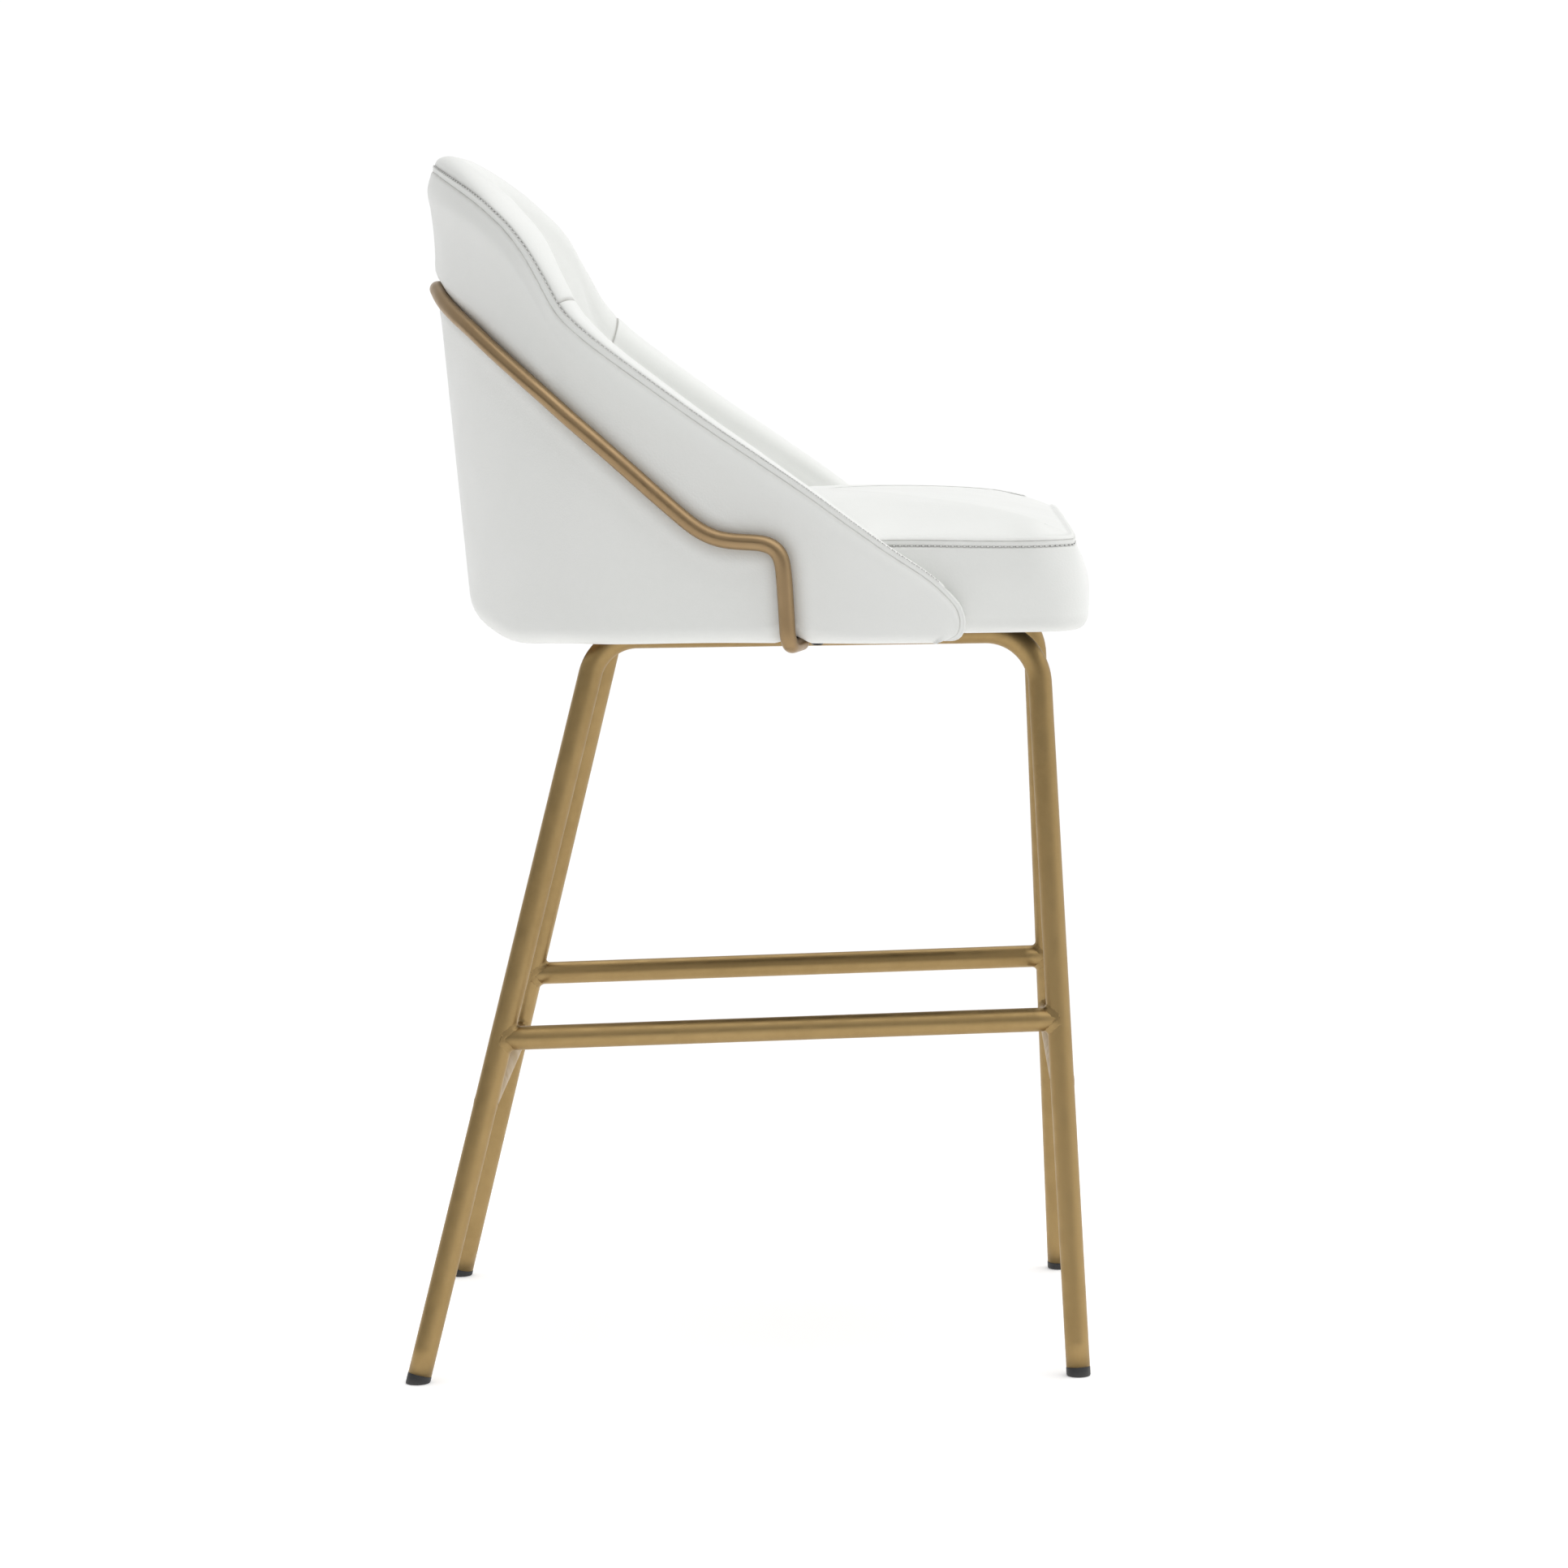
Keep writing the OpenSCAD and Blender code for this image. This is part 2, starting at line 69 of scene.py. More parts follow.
def catmull(knots, per):
    """Curve through knots[1:-1], with that many samples for each span."""
    out = []
    for a, b, c, d in zip(knots, knots[1:], knots[2:], knots[3:]):
        for t in np.arange(per) / per:
            out.append(0.5 * (2 * b + (c - a) * t + (2 * a - 5 * b + 4 * c - d) * t * t
                              + (3 * b - a - 3 * c + d) * t ** 3))
    out.append(knots[-2])
    return np.array(out)


def lengths(points):
    return np.concatenate([[0], np.cumsum(np.linalg.norm(np.diff(points, axis=0), axis=1))])


def at_length(x, at, rows):
    return np.array([np.interp(x, at, rows[:, q]) for q in range(3)])


def resample(points, step, closed=False):
    """Evenly spaced points along a polyline, step apart or nearly."""
    pts = np.vstack([points, points[:1]]) if closed else np.asarray(points, float)
    at = lengths(pts)
    n = max(2, int(round(at[-1] / step)) + 1)
    want = np.linspace(0, at[-1], n)
    out = np.stack([np.interp(want, at, pts[:, k]) for k in range(pts.shape[1])], 1)
    return out[:-1] if closed else out


def soften(points, sigma, closed=False):
    """Gaussian smoothing along a row of points, sigma in samples; open ends stay in place."""
    r = int(math.ceil(3 * sigma))
    w = np.exp(-0.5 * (np.arange(-r, r + 1) / sigma) ** 2)
    w /= w.sum()
    p = np.asarray(points, float)
    if closed:
        q = np.concatenate([p[-r:], p, p[:r]])
    else:
        q = np.concatenate([2 * p[0] - p[r:0:-1], p, 2 * p[-1] - p[-2:-r - 2:-1]])
    return np.stack([np.convolve(q[:, k], w, "valid") for k in range(p.shape[1])], 1)


def wobble(n, scale, seed, closed=True):
    """Smooth random row of n values, about -1 to 1, that changes over scale samples."""
    r = np.random.default_rng(seed)
    w = soften(r.standard_normal((n, 1)), scale, closed)[:, 0]
    return w / max(np.abs(w).max(), 1e-9)


# ---- Plan of the padded shell, as in the CAD

# Half width, distance ahead of the rear face and height of the edge seam, rear centre to nose
RIM = np.array([
    [0, 0, 917], [50, 6, 914], [90, 20.5, 906.5], [130, 44, 893], [156, 63, 878.5],
    [174, 79.5, 857.5], [185, 95, 827], [191, 105, 808], [195.5, 114.5, 790],
    [203, 137, 771], [212, 175, 741.5], [221, 217, 710.5], [230, 254, 684.5],
    [238, 290, 658], [243, 325, 631], [244, 355, 609], [243.8, 369, 596.5],
    [243.5, 376.5, 586]], float)
# Distance ahead and height along the front edge of the wing, below the last row of RIM
NOSE = np.array([[378.2, 580], [378.6, 575.5], [377.6, 569.5], [374.6, 565.2], [370, 563.2], [365, 562.8]])
LEAN = math.tan(math.radians(4.6))
BACK_Y, BOARD_Z, BOARD_T = 215.0, 569.7, 15.0
STATIONS = 3
PER = 60
EXTRA = 16

def through(knots, per):
    """Curve through the right half of a line that its mirror over the first column continues."""
    before = knots[1] * ([-1] + [1] * (knots.shape[1] - 1))
    return catmull(np.vstack([before, knots, 2 * knots[-1] - knots[-2]]), per)


def both_halves(right):
    return np.vstack([right[:0:-1] * ([-1] + [1] * (right.shape[1] - 1)), right])


_half = through(RIM, PER)
_plan = both_halves(_half)
_arc = lengths(_plan[:, :2])
_arc -= _arc[-1] / 2
L_END = _arc[-1]
PLAN_L = np.arange(-math.floor(L_END), math.floor(L_END) + 1.0)
_even = np.stack([np.interp(PLAN_L, _arc, _plan[:, k]) for k in range(3)], 1)
_even = soften(_even, 7)
_tail = [_even[-1] + (_even[-1] - _even[-2]) * k for k in range(1, EXTRA + 1)]
_even = np.vstack([np.array(_tail[::-1]) * [-1, 1, 1], _even, _tail])
PLAN_L = np.arange(-math.floor(L_END) - EXTRA, math.floor(L_END) + EXTRA + 1.0)
_t = unit(np.gradient(_even[:, :2], axis=0))
PLAN = {"x": _even[:, 0], "s": _even[:, 1], "z": _even[:, 2], "nx": _t[:, 1], "ns": -_t[:, 0]}


def plan(key, L):
    return np.interp(L, PLAN_L, PLAN[key])


def back_y(z):
    return BACK_Y + (z - BOARD_Z) * LEAN


def shell(L, d, z):
    """Point of the shell: distance L round its plan, depth d under its outer face, height z."""
    L, d, z = np.broadcast_arrays(np.asarray(L, float), d, z)
    x = plan("x", L) - d * plan("nx", L)
    s = plan("s", L) - d * plan("ns", L)
    return np.stack([x, back_y(z) - s, z], -1)


def station_to_l(u):
    """Distance round the plan of a CAD station."""
    q = np.abs(u) / STATIONS
    half_l = _arc[len(_half) - 1:]
    return np.sign(u) * np.interp(q, np.arange(len(half_l)) / PER, half_l)


def wall(L):
    s = plan("s", np.abs(L))
    return 20.5 + 21.5 * np.clip(1 - (s - 40) / 285, 0, 1)


# Height of the edge seam by distance round the plan: the soft cover settles a little lower
# than the bare edge of the CAD
SETTLED = np.array([
    [0, 913.4], [30, 912.6], [60, 909.2], [90, 902.6], [115, 895], [140, 885.5], [160, 875.5], [175, 866.1],
    [188, 854.4], [198, 842], [208, 825.6], [216, 811], [222, 802.6], [228, 796.4], [236, 789.6],
    [248, 779.9], [265, 767.1], [285, 752.2], [310, 733.5], [340, 711.8], [370, 691.1], [400, 670],
    [430, 647.3], [446, 635.3]], float)


# The edge of the shell, nose to nose, as (distance round the plan, height)
def _rim_path():
    main_l = np.arange(-math.floor(L_END), math.floor(L_END) + 1.0, 2)
    high = np.interp(main_l, PLAN_L, PLAN["z"])
    low = through(SETTLED, 10)
    last = SETTLED[-1, 0]
    past = np.interp(last, PLAN_L, PLAN["z"]) - SETTLED[-1, 1]
    high = np.where(np.abs(main_l) > last, high - past * (1 - ease(np.abs(main_l), last, last + 50)),
                    np.interp(np.abs(main_l), low[:, 0], low[:, 1]))
    main = np.stack([main_l, high], 1)
    end_s = plan("s", L_END)
    nose = np.stack([L_END + NOSE[:, 0] - end_s, NOSE[:, 1]], 1)
    path = np.vstack([nose[::-1] * [-1, 1], main, nose])
    return soften(resample(path, 2.4), 1.2)


EDGE = _rim_path()
EDGE_T = unit(np.gradient(EDGE, axis=0))
EDGE_W = np.stack([-EDGE_T[:, 1], EDGE_T[:, 0]], 1)
EDGE_AT = lengths(EDGE)
EDGE_MID = EDGE_AT[-1] / 2
# 0 along the arch and the wings, 1 round the last stretch of each nose
NOSINESS = ease(np.abs(EDGE_AT - EDGE_MID), EDGE_MID - 62, EDGE_MID - 34)
# How far the edge rolls in from the straight outer face
ROLL = 2.4 + 2.1 * (1 - ease(np.abs(EDGE[:, 0]), 40, 170))


def edge_point(i, d, b):
    """Points by edge samples i: depth d under the outer face, b beyond the edge along the shell."""
    return shell(EDGE[i, 0] + b * EDGE_W[i, 0], d, EDGE[i, 1] + b * EDGE_W[i, 1])


def crest(t):
    return 6.5 * (t - 1.5) / 40 + 1.5


EDGE_WALL = wall(EDGE[:, 0])
# How much fuller the padding stands along the edge than the CAD's, by distance round the plan
FULLER = np.interp(np.abs(EDGE[:, 0]),
                   [0, 30, 60, 90, 115, 140, 160, 175, 190, 205,
                    216, 228, 240, 255, 275, 300, 360, 390, 450],
                   [2.9, 3.4, 4.8, 4.8, 3.8, 1.5, 0.5, 0.5, 1.2, 2.7,
                    3.8, 4.0, 3.2, 2.3, 1.9, 1.6, 0.8, 0, 0])
CREST = crest(EDGE_WALL) + soften(FULLER[:, None], 4)[:, 0]
STRIP = 0.55 * crest(EDGE_WALL) + 0.3 - 1.0 * (1 - ease(np.abs(EDGE[:, 0]), 40, 140)) \
    + 0.9 * ease(np.abs(EDGE[:, 0]), 170, 215)


# ---- Meshes

def turn_by(n):
    """n even angles round a circle."""
    return 2 * math.pi * np.arange(n) / n


def circle(a, u, w):
    """Points at angles a round the circle with unit axes u and w."""
    return np.cos(a)[:, None] * u + np.sin(a)[:, None] * w


def volume(verts, faces):
    """Signed volume of a closed body, from fans over its faces."""
    total = 0.0
    v = np.asarray(verts)
    for k in set(map(len, faces)):
        f = np.array([p for p in faces if len(p) == k])
        for j in range(1, k - 1):
            total += np.einsum("ij,ij->i", v[f[:, 0]], np.cross(v[f[:, j]], v[f[:, j + 1]])).sum()
    return total / 6


def add_object(name, data):
    ob = bpy.data.objects.new(name, data)
    bpy.context.scene.collection.objects.link(ob)
    return ob


def make_piece(name, verts, faces, finish, nodes=(), shade_and_wear=None, sharp=False):
    """Mesh object from mm points, turned the right way out, riding on the body. finish is a material and a
    slot name; the slot name is not used."""
    mat, slot = finish
    if volume(verts, faces) < 0:
        faces = [tuple(reversed(f)) for f in faces]
    me = bpy.data.meshes.new(name)
    me.from_pydata((np.asarray(verts) * MM).tolist(), [], [tuple(f) for f in faces])
    me.validate()
    me.shade_smooth()
    if sharp:
        me.set_sharp_from_angle(angle=math.radians(42))
    shade_and_wear_level = np.zeros(len(verts)) if shade_and_wear is None else np.asarray(shade_and_wear, float).ravel()
    me.attributes.new("shade_and_wear", "FLOAT", "POINT").data.foreach_set("value", shade_and_wear_level)
    me.materials.append(mat)
    ob = add_object(name, me)
    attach(ob, "root")
    if nodes:
        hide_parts(*nodes)
    return ob


def loft(loops, ring=False, caps="ngon"):
    """Body through a row of equal closed loops. Ends are closed unless the row is a ring."""
    loops = np.asarray(loops)
    m, n = loops.shape[:2]
    i = np.arange(m if ring else m - 1)[:, None]
    j = np.arange(n)[None]
    k, nj = (i + 1) % m, (j + 1) % n
    quads = np.stack([i * n + j, i * n + nj, k * n + nj, k * n + j], -1).reshape(-1, 4)
    faces = [tuple(q) for q in quads.tolist()]
    if not ring:
        for base, turn in ((0, -1), ((m - 1) * n, 1)):
            if caps == "ngon":
                faces.append(tuple(base + k for k in (range(n) if turn > 0 else reversed(range(n)))))
            else:
                for k in range(n // 2 - 1):
                    q = (base + k, base + k + 1, base + n - 2 - k, base + n - 1 - k)
                    faces.append(q if turn > 0 else q[::-1])
    return loops.reshape(-1, 3), faces


def fan_stack(loops, low, high):
    """Body through a stack of loops with a point closing each end."""
    loops = np.asarray(loops)
    m, n = loops.shape[:2]
    verts, faces = loft(loops)
    faces = faces[:-2]
    verts = np.vstack([verts, [low], [high]])
    for j in range(n):
        k = (j + 1) % n
        faces.append((k, j, m * n))
        faces.append(((m - 1) * n + j, (m - 1) * n + k, m * n + 1))
    return verts, faces


def sweep(points, radius, sides, guide=(0, 0, 1)):
    """Round bar along points. radius is one number or one for each point."""
    p = np.asarray(points, float)
    r = np.broadcast_to(radius, len(p))
    t = unit(np.gradient(p, axis=0))
    n = unit(np.asarray(guide, float) - np.dot(guide, t[0]) * t[0])
    a = turn_by(sides)
    loops = []
    for k in range(len(p)):
        n = unit(n - np.dot(n, t[k]) * t[k])
        loops.append(p[k] + r[k] * circle(a, n, np.cross(t[k], n)))
    return loft(loops)


def round_ends(points, radius):
    """Points and radii of a bar whose two ends are domed."""
    p = np.asarray(points, float)
    u0, u1 = unit(p[1] - p[0]), unit(p[-1] - p[-2])
    a = np.radians(np.linspace(86, 0, 5, endpoint=False))
    head = [p[0] + u0 * radius * (1 - math.sin(k)) for k in a]
    tail = [p[-1] - u1 * radius * (1 - math.sin(k)) for k in a[::-1]]
    end = radius * np.cos(a)
    return np.vstack([head, p[1:-1], tail]), np.concatenate([end, [radius] * (len(p) - 2), end[::-1]])


def cut_corners(loop):
    """Each corner of the closed loops cut into two."""
    nxt = np.roll(loop, -1, -2)
    loop = np.stack([0.75 * loop + 0.25 * nxt, 0.25 * loop + 0.75 * nxt], -2)
    return loop.reshape(*loop.shape[:-3], -1, loop.shape[-1])


# ---- Materials

def put(node, values):
    """Set sockets of a node, by name or number."""
    for key, value in values.items():
        node.inputs[key].default_value = value


def map_range(nt, source, *values):
    """Smooth MapRange node: from low, from high, to low, to high, as numbers or sockets."""
    node = nt.nodes.new("ShaderNodeMapRange")
    node.interpolation_type = "SMOOTHSTEP"
    for k, v in enumerate((source, *values)):
        if isinstance(v, (int, float)):
            node.inputs[k].default_value = v
        else:
            nt.links.new(v, node.inputs[k])
    return node.outputs[0]


def make_material(name, color, rough, metal=0.0, specular=0.5, tint=None, tint_scale=9.0,
                  rough_by=0.05, rough_scale=40.0, bumps=(), shade_and_wear=None, stretch=(1, 1, 1),
                  sheen=0.0, coat=0.0, coat_rough=0.3):
    """Principled material on object coordinates. bumps: (kind, scale, depth in mm, strength)."""
    mat = bpy.data.materials.new(name)
    mat.use_nodes = True
    nt = mat.node_tree
    nt.nodes.clear()
    new, link = nt.nodes.new, nt.links.new
    out, bsdf = new("ShaderNodeOutputMaterial"), new("ShaderNodeBsdfPrincipled")
    link(bsdf.outputs[0], out.inputs[0])
    put(bsdf, {"Metallic": metal, "Specular IOR Level": specular, "Sheen Weight": sheen,
               "Sheen Roughness": 0.5, "Coat Weight": coat, "Coat Roughness": coat_rough})
    coords, place = new("ShaderNodeTexCoord"), new("ShaderNodeMapping")
    link(coords.outputs["Object"], place.inputs[0])
    place.inputs["Scale"].default_value = stretch

    def texture(kind, scale, detail=3.0, plain=False):
        t = new({"noise": "ShaderNodeTexNoise", "cells": "ShaderNodeTexVoronoi",
                 "wave": "ShaderNodeTexWave"}[kind])
        link(coords.outputs["Object"] if plain else place.outputs[0], t.inputs["Vector"])
        t.inputs["Scale"].default_value = scale
        if kind == "noise":
            t.inputs["Detail"].default_value = detail
        if kind == "cells":
            t.feature = "SMOOTH_F1"
            t.inputs["Smoothness"].default_value = 0.6
        if kind == "wave":
            put(t, {"Distortion": 2.5, "Detail": 2})
        return t

    def mixed(factor, a, b):
        m = new("ShaderNodeMix")
        m.data_type = "RGBA"
        link(factor, m.inputs[0])
        for value, socket in ((a, m.inputs[6]), (b, m.inputs[7])):
            if isinstance(value, (tuple, list)):
                socket.default_value = (*value, 1)
            else:
                link(value, socket)
        return m.outputs[2]

    paint = mixed(map_range(nt, texture("noise", tint_scale).outputs[0], 0.35, 0.75, 0, 1),
                  color, tint or color)
    fine = texture("noise", tint_scale * 30, 2.0)
    paint = mixed(map_range(nt, fine.outputs[0], 0.3, 0.7, 0, 0.35), paint, tint or color)
    # A vertex attribute mixes in a second colour: mostly painted shade, in grooves, seams, stitch holes and
    # under the seat and shell, and real scuffing on the foot caps.
    if shade_and_wear:
        attr = new("ShaderNodeAttribute")
        attr.attribute_name = "shade_and_wear"
        shade_and_wear_mix = new("ShaderNodeMath")
        shade_and_wear_mix.operation = "MULTIPLY"
        link(attr.outputs["Fac"], shade_and_wear_mix.inputs[0])
        link(map_range(nt, texture("noise", 120, 4.0).outputs[0], 0.25, 0.7, 0.55, 1.0), shade_and_wear_mix.inputs[1])
        paint = mixed(shade_and_wear_mix.outputs[0], paint, shade_and_wear)
    link(paint, bsdf.inputs["Base Color"])
    smudge = texture("noise", rough_scale, 4.0, plain=True)
    link(map_range(nt, smudge.outputs[0], 0.3, 0.7, rough - rough_by, rough + rough_by),
         bsdf.inputs["Roughness"])
    goes_to = bsdf.inputs["Normal"]
    for kind, scale, depth, strength in reversed(bumps):
        bump, t = new("ShaderNodeBump"), texture(kind, scale)
        put(bump, {"Distance": depth * MM, "Strength": strength})
        link(t.outputs[0], bump.inputs["Height"])
        link(bump.outputs[0], goes_to)
        goes_to = bump.inputs["Normal"]
    return mat


# The second colours given below are mixed in where a piece marks them: painted shade on the leather and
# thread; on the brass a darker tone at joints, welds and low ends, and painted shade where the tubes run
# under the seat; lighter scuffing on the black foot caps.
LEATHER = make_material(
    "white_grained_leather", (0.81, 0.82, 0.795), 0.44, specular=0.42, tint=(0.83, 0.837, 0.815),
    tint_scale=5, rough_by=0.06, rough_scale=26, shade_and_wear=(0.34, 0.33, 0.30), sheen=0.06, coat=0.06,
    coat_rough=0.35,
    bumps=(("noise", 14, 0.8, 0.3), ("cells", 620, 0.16, 0.5), ("noise", 1900, 0.05, 0.5)))
THREAD = make_material(
    "white_thread", (0.76, 0.765, 0.75), 0.6, specular=0.3, tint=(0.68, 0.68, 0.66), tint_scale=300,
    shade_and_wear=(0.13, 0.13, 0.12), bumps=(("wave", 900, 0.12, 0.6),))
BRUSHED = (("noise", 900, 0.02, 0.35), ("noise", 3200, 0.008, 0.35))
BRASS = make_material(
    "antique_brass", (0.375, 0.258, 0.112), 0.45, metal=1.0, tint=(0.415, 0.288, 0.13), tint_scale=7,
    rough_scale=60, shade_and_wear=(0.30, 0.205, 0.09), bumps=BRUSHED)
ROD_BRASS = make_material(
    "bronze_brass_rod", (0.34, 0.232, 0.125), 0.38, metal=1.0, tint=(0.38, 0.265, 0.145),
    tint_scale=8, rough_scale=60, shade_and_wear=(0.27, 0.18, 0.09), bumps=BRUSHED)
PLASTIC = make_material(
    "black_foot_plastic", (0.018, 0.018, 0.019), 0.5, tint=(0.03, 0.03, 0.031), tint_scale=40,
    rough_by=0.08, shade_and_wear=(0.09, 0.085, 0.08), bumps=(("noise", 1500, 0.05, 0.5),))
POWDER = make_material(
    "black_powder_coat", (0.022, 0.022, 0.022), 0.55, tint=(0.035, 0.034, 0.033), tint_scale=30,
    rough_by=0.08, bumps=(("noise", 1400, 0.06, 0.6),))
ZINC = make_material(
    "zinc_plate", (0.55, 0.55, 0.53), 0.34, metal=1.0, tint=(0.48, 0.5, 0.52), tint_scale=120,
    rough_by=0.08, bumps=(("noise", 900, 0.03, 0.4),))
BLACK_OXIDE = make_material(
    "black_oxide_screw", (0.03, 0.03, 0.032), 0.42, metal=0.8, tint=(0.05, 0.05, 0.05), tint_scale=150,
    bumps=(("noise", 1200, 0.03, 0.4),))
PLYWOOD = make_material(
    "raw_plywood", (0.56, 0.40, 0.23), 0.68, tint=(0.66, 0.50, 0.31), tint_scale=16, stretch=(1, 7, 26),
    bumps=(("noise", 160, 0.25, 0.6),))
DUST_CLOTH = make_material(
    "black_nonwoven", (0.016, 0.016, 0.017), 0.85, tint=(0.035, 0.035, 0.036), tint_scale=220,
    sheen=0.2, bumps=(("cells", 700, 0.2, 0.8), ("noise", 2500, 0.1, 0.6)))

# Finishes of the pieces made here: material and slot
HIDE, SEWING = (LEATHER, "white_leather"), (THREAD, "white_leather")
TUBE, ROD_METAL, CAP = (BRASS, "frame_brass"), (ROD_BRASS, "rod_brass"), (PLASTIC, "cap_plastic")
PLY, DUST = (PLYWOOD, "plywood"), (DUST_CLOTH, "dust_cloth")

for node, mat in {
        "front_seat_bar": POWDER, "rear_seat_bar": POWDER, "seat_bolts": ZINC, "bolt_washers": ZINC,
        "tee_nuts": ZINC, "seat_board": PLYWOOD, "shell_screws": ZINC,
        "left_rod_tab": ROD_BRASS, "right_rod_tab": ROD_BRASS, "rod_screws": BLACK_OXIDE}.items():
    for slot in frame["nodes"][node].material_slots:
        slot.material = mat


# ---- Padding: cloth simulation on a remeshed copy

PRESSURE, FRAMES, NEAREST = 4.0, 20, 26


def search_tree(points):
    tree = kdtree.KDTree(len(points))
    for k, p in enumerate(points):
        tree.insert(p, k)
    tree.balance()
    return tree


def points_of(mesh):
    co = np.empty(len(mesh.vertices) * 3)
    mesh.vertices.foreach_get("co", co)
    return co.reshape(-1, 3)


def inflate(verts, faces, held, voxel, cap):
    """Displacement in mm of each point of a closed body when its cloth is blown up by a light
    pressure, at most cap. held is 1 where the cover is sewn or backed and 0 where it is free."""
    verts = np.asarray(verts)
    me = bpy.data.meshes.new("soft_copy")
    me.from_pydata((verts * MM).tolist(), [], [tuple(f) for f in faces])
    ob = add_object("soft_copy", me)
    remesh = ob.modifiers.new("voxels", "REMESH")
    remesh.mode, remesh.voxel_size = "VOXEL", voxel * MM
    dg = bpy.context.evaluated_depsgraph_get()
    coarse = bpy.data.meshes.new_from_object(ob.evaluated_get(dg))
    ob.modifiers.clear()
    ob.data = coarse
    start = points_of(coarse)
    tree = search_tree(verts * MM)
    group = ob.vertex_groups.new(name="held")
    for k, p in enumerate(start):
        group.add([k], float(held[tree.find(p)[1]]), "REPLACE")
    cloth = ob.modifiers.new("cloth", "CLOTH")
    st = cloth.settings
    st.vertex_group_mass = "held"
    st.quality, st.mass = 4, 0.25
    st.use_pressure, st.uniform_pressure_force = True, PRESSURE
    st.tension_stiffness = st.compression_stiffness = 12
    st.shear_stiffness, st.bending_stiffness = 6, 2
    st.effector_weights.gravity = 0
    cloth.collision_settings.use_collision = False
    cloth.point_cache.frame_start, cloth.point_cache.frame_end = 1, FRAMES
    scene = bpy.context.scene
    for f in range(1, FRAMES + 1):
        scene.frame_set(f)
    end = points_of(ob.evaluated_get(bpy.context.evaluated_depsgraph_get()).to_mesh())
    moved = (end - start) / MM
    size = np.linalg.norm(moved, axis=1, keepdims=True)
    moved *= np.minimum(1, cap / np.maximum(size, 1e-9))
    bpy.data.objects.remove(ob)
    scene.frame_set(1)
    tree = search_tree(start)
    out = np.empty_like(verts)
    for k, p in enumerate(verts * MM):
        near = tree.find_n(p, NEAREST)
        w = np.array([math.exp(-(q[2] / (voxel * MM * 1.5)) ** 2) + 1e-6 for q in near])
        out[k] = (moved[[q[1] for q in near]] * w[:, None]).sum(0) / w.sum()
    return out * (1 - np.asarray(held))[:, None]


# ---- Outer cover

ROD_L = 379.0
BASE_REACH = L_END - 26


def base_line():
    """Foot of the section through each edge sample, as (distance round the plan, height)."""
    L = EDGE[:, 0]
    half = slice(len(EDGE) // 2, len(EDGE) // 2 + int(len(EDGE) * 0.46))
    past = np.maximum(0, np.abs(EDGE_AT - EDGE_MID) - np.interp(
        BASE_REACH, EDGE[half, 0], EDGE_AT[half] - EDGE_MID))
    far = past / max(past.max(), 1e-9)
    base_l = np.sign(L) * np.where(past > 0, BASE_REACH + 9 * far, np.abs(L))
    z = 553.4 + 4.4 * ease(np.abs(base_l), 100, 210) + 1.9 * ease(np.abs(base_l), 210, 330)
    z += 5.5 * hump(np.abs(base_l), ROD_L, 15)
    return np.stack([base_l, z], 1)


BASE = base_line()
ROD_R, HOOK_Z, HOOK_R = 6.0, 558.6, 9.0
# Right half of the rod's line, from the middle of the back, as (distance round the plan, height)
ROD = np.array([
    [0, 822.6], [20, 822.4], [38, 820.8], [56, 816.2], [73.6, 810.8], [93.7, 804.2], [122.9, 793],
    [146.8, 781.4], [167.3, 770.3], [185.5, 759.6], [200.9, 748.9], [214.5, 738.3], [239.2, 717.2],
    [262.2, 696.2], [284.7, 674.8], [307.3, 653.8], [318.6, 644.5], [330.3, 638.5], [342.4, 636.1],
    [355, 635.4], [367.1, 634.8], [373.5, 633.2], [377.9, 630], [380.2, 624.7], [380.6, 616.4],
    [380.3, 600], [379.6, 580], [379.1, 568]], float)


def rod_line():
    path = resample(through(ROD, 10), 2.0)
    return soften(both_halves(path), 2.5)[len(path) - 1:]


ROD_LINE = rod_line()


def rod_depth(L):
    """Depth of the rod's middle under the outer face: it lies deeper in the padding at the back."""
    return -4.8 + 4.2 * (1 - ease(np.abs(L), 25, 150))


def rod_dent(L, z):
    """How deep the rod presses the cover in, by place on the shell."""
    gap, near_l = np.full(len(L), 99.0), np.zeros(len(L))
    for q in ROD_LINE[::2]:
        g = np.hypot(np.abs(L) - q[0], z - q[1])
        near_l = np.where(g < gap, q[0], near_l)
        gap = np.minimum(gap, g)
    press = rod_depth(near_l) + ROD_R + 0.3
    return press * np.exp(-(gap / 7.0) ** 2) - 0.7 * np.exp(-((gap - 15) / 6.0) ** 2)


# The section of the outer face at each edge sample: its drop, the radius it turns in with at
# the foot, its length, the length of its flat part and a scale for the details at its top
DROP = np.maximum(EDGE[:, 1] - BASE[:, 1], 0.9)
TURN = np.maximum(0.3, np.minimum(0.42 * DROP, 32 - 20 * ease(np.abs(BASE[:, 0]), 40, 150)
                                  - 4 * ease(np.abs(BASE[:, 0]), 380, 440)))
REACH = np.linalg.norm(BASE - EDGE, axis=1)
FACE = REACH * (1 - TURN / DROP)
SHORT = np.clip(FACE / 85, 0.03, 1)


def face_at(e, d, follow=1.0):
    """Points at distance e down the face and depth d, with the roll at the edge, the puff and
    the valley below it and the dent under the rod."""
    soft = ROLL * np.clip(1 - e / 26, 0, 1) ** 2.2 - SHORT * 1.1 * hump(e, 15 * SHORT, 13 * SHORT) \
        + SHORT * 1.0 * hump(e, 46 * SHORT, 28 * SHORT)
    lz = EDGE + (BASE - EDGE) * (e / np.maximum(REACH, 1e-6))[:, None]
    return shell(lz[:, 0], d + follow * (soft + rod_dent(lz[:, 0], lz[:, 1])), lz[:, 1])


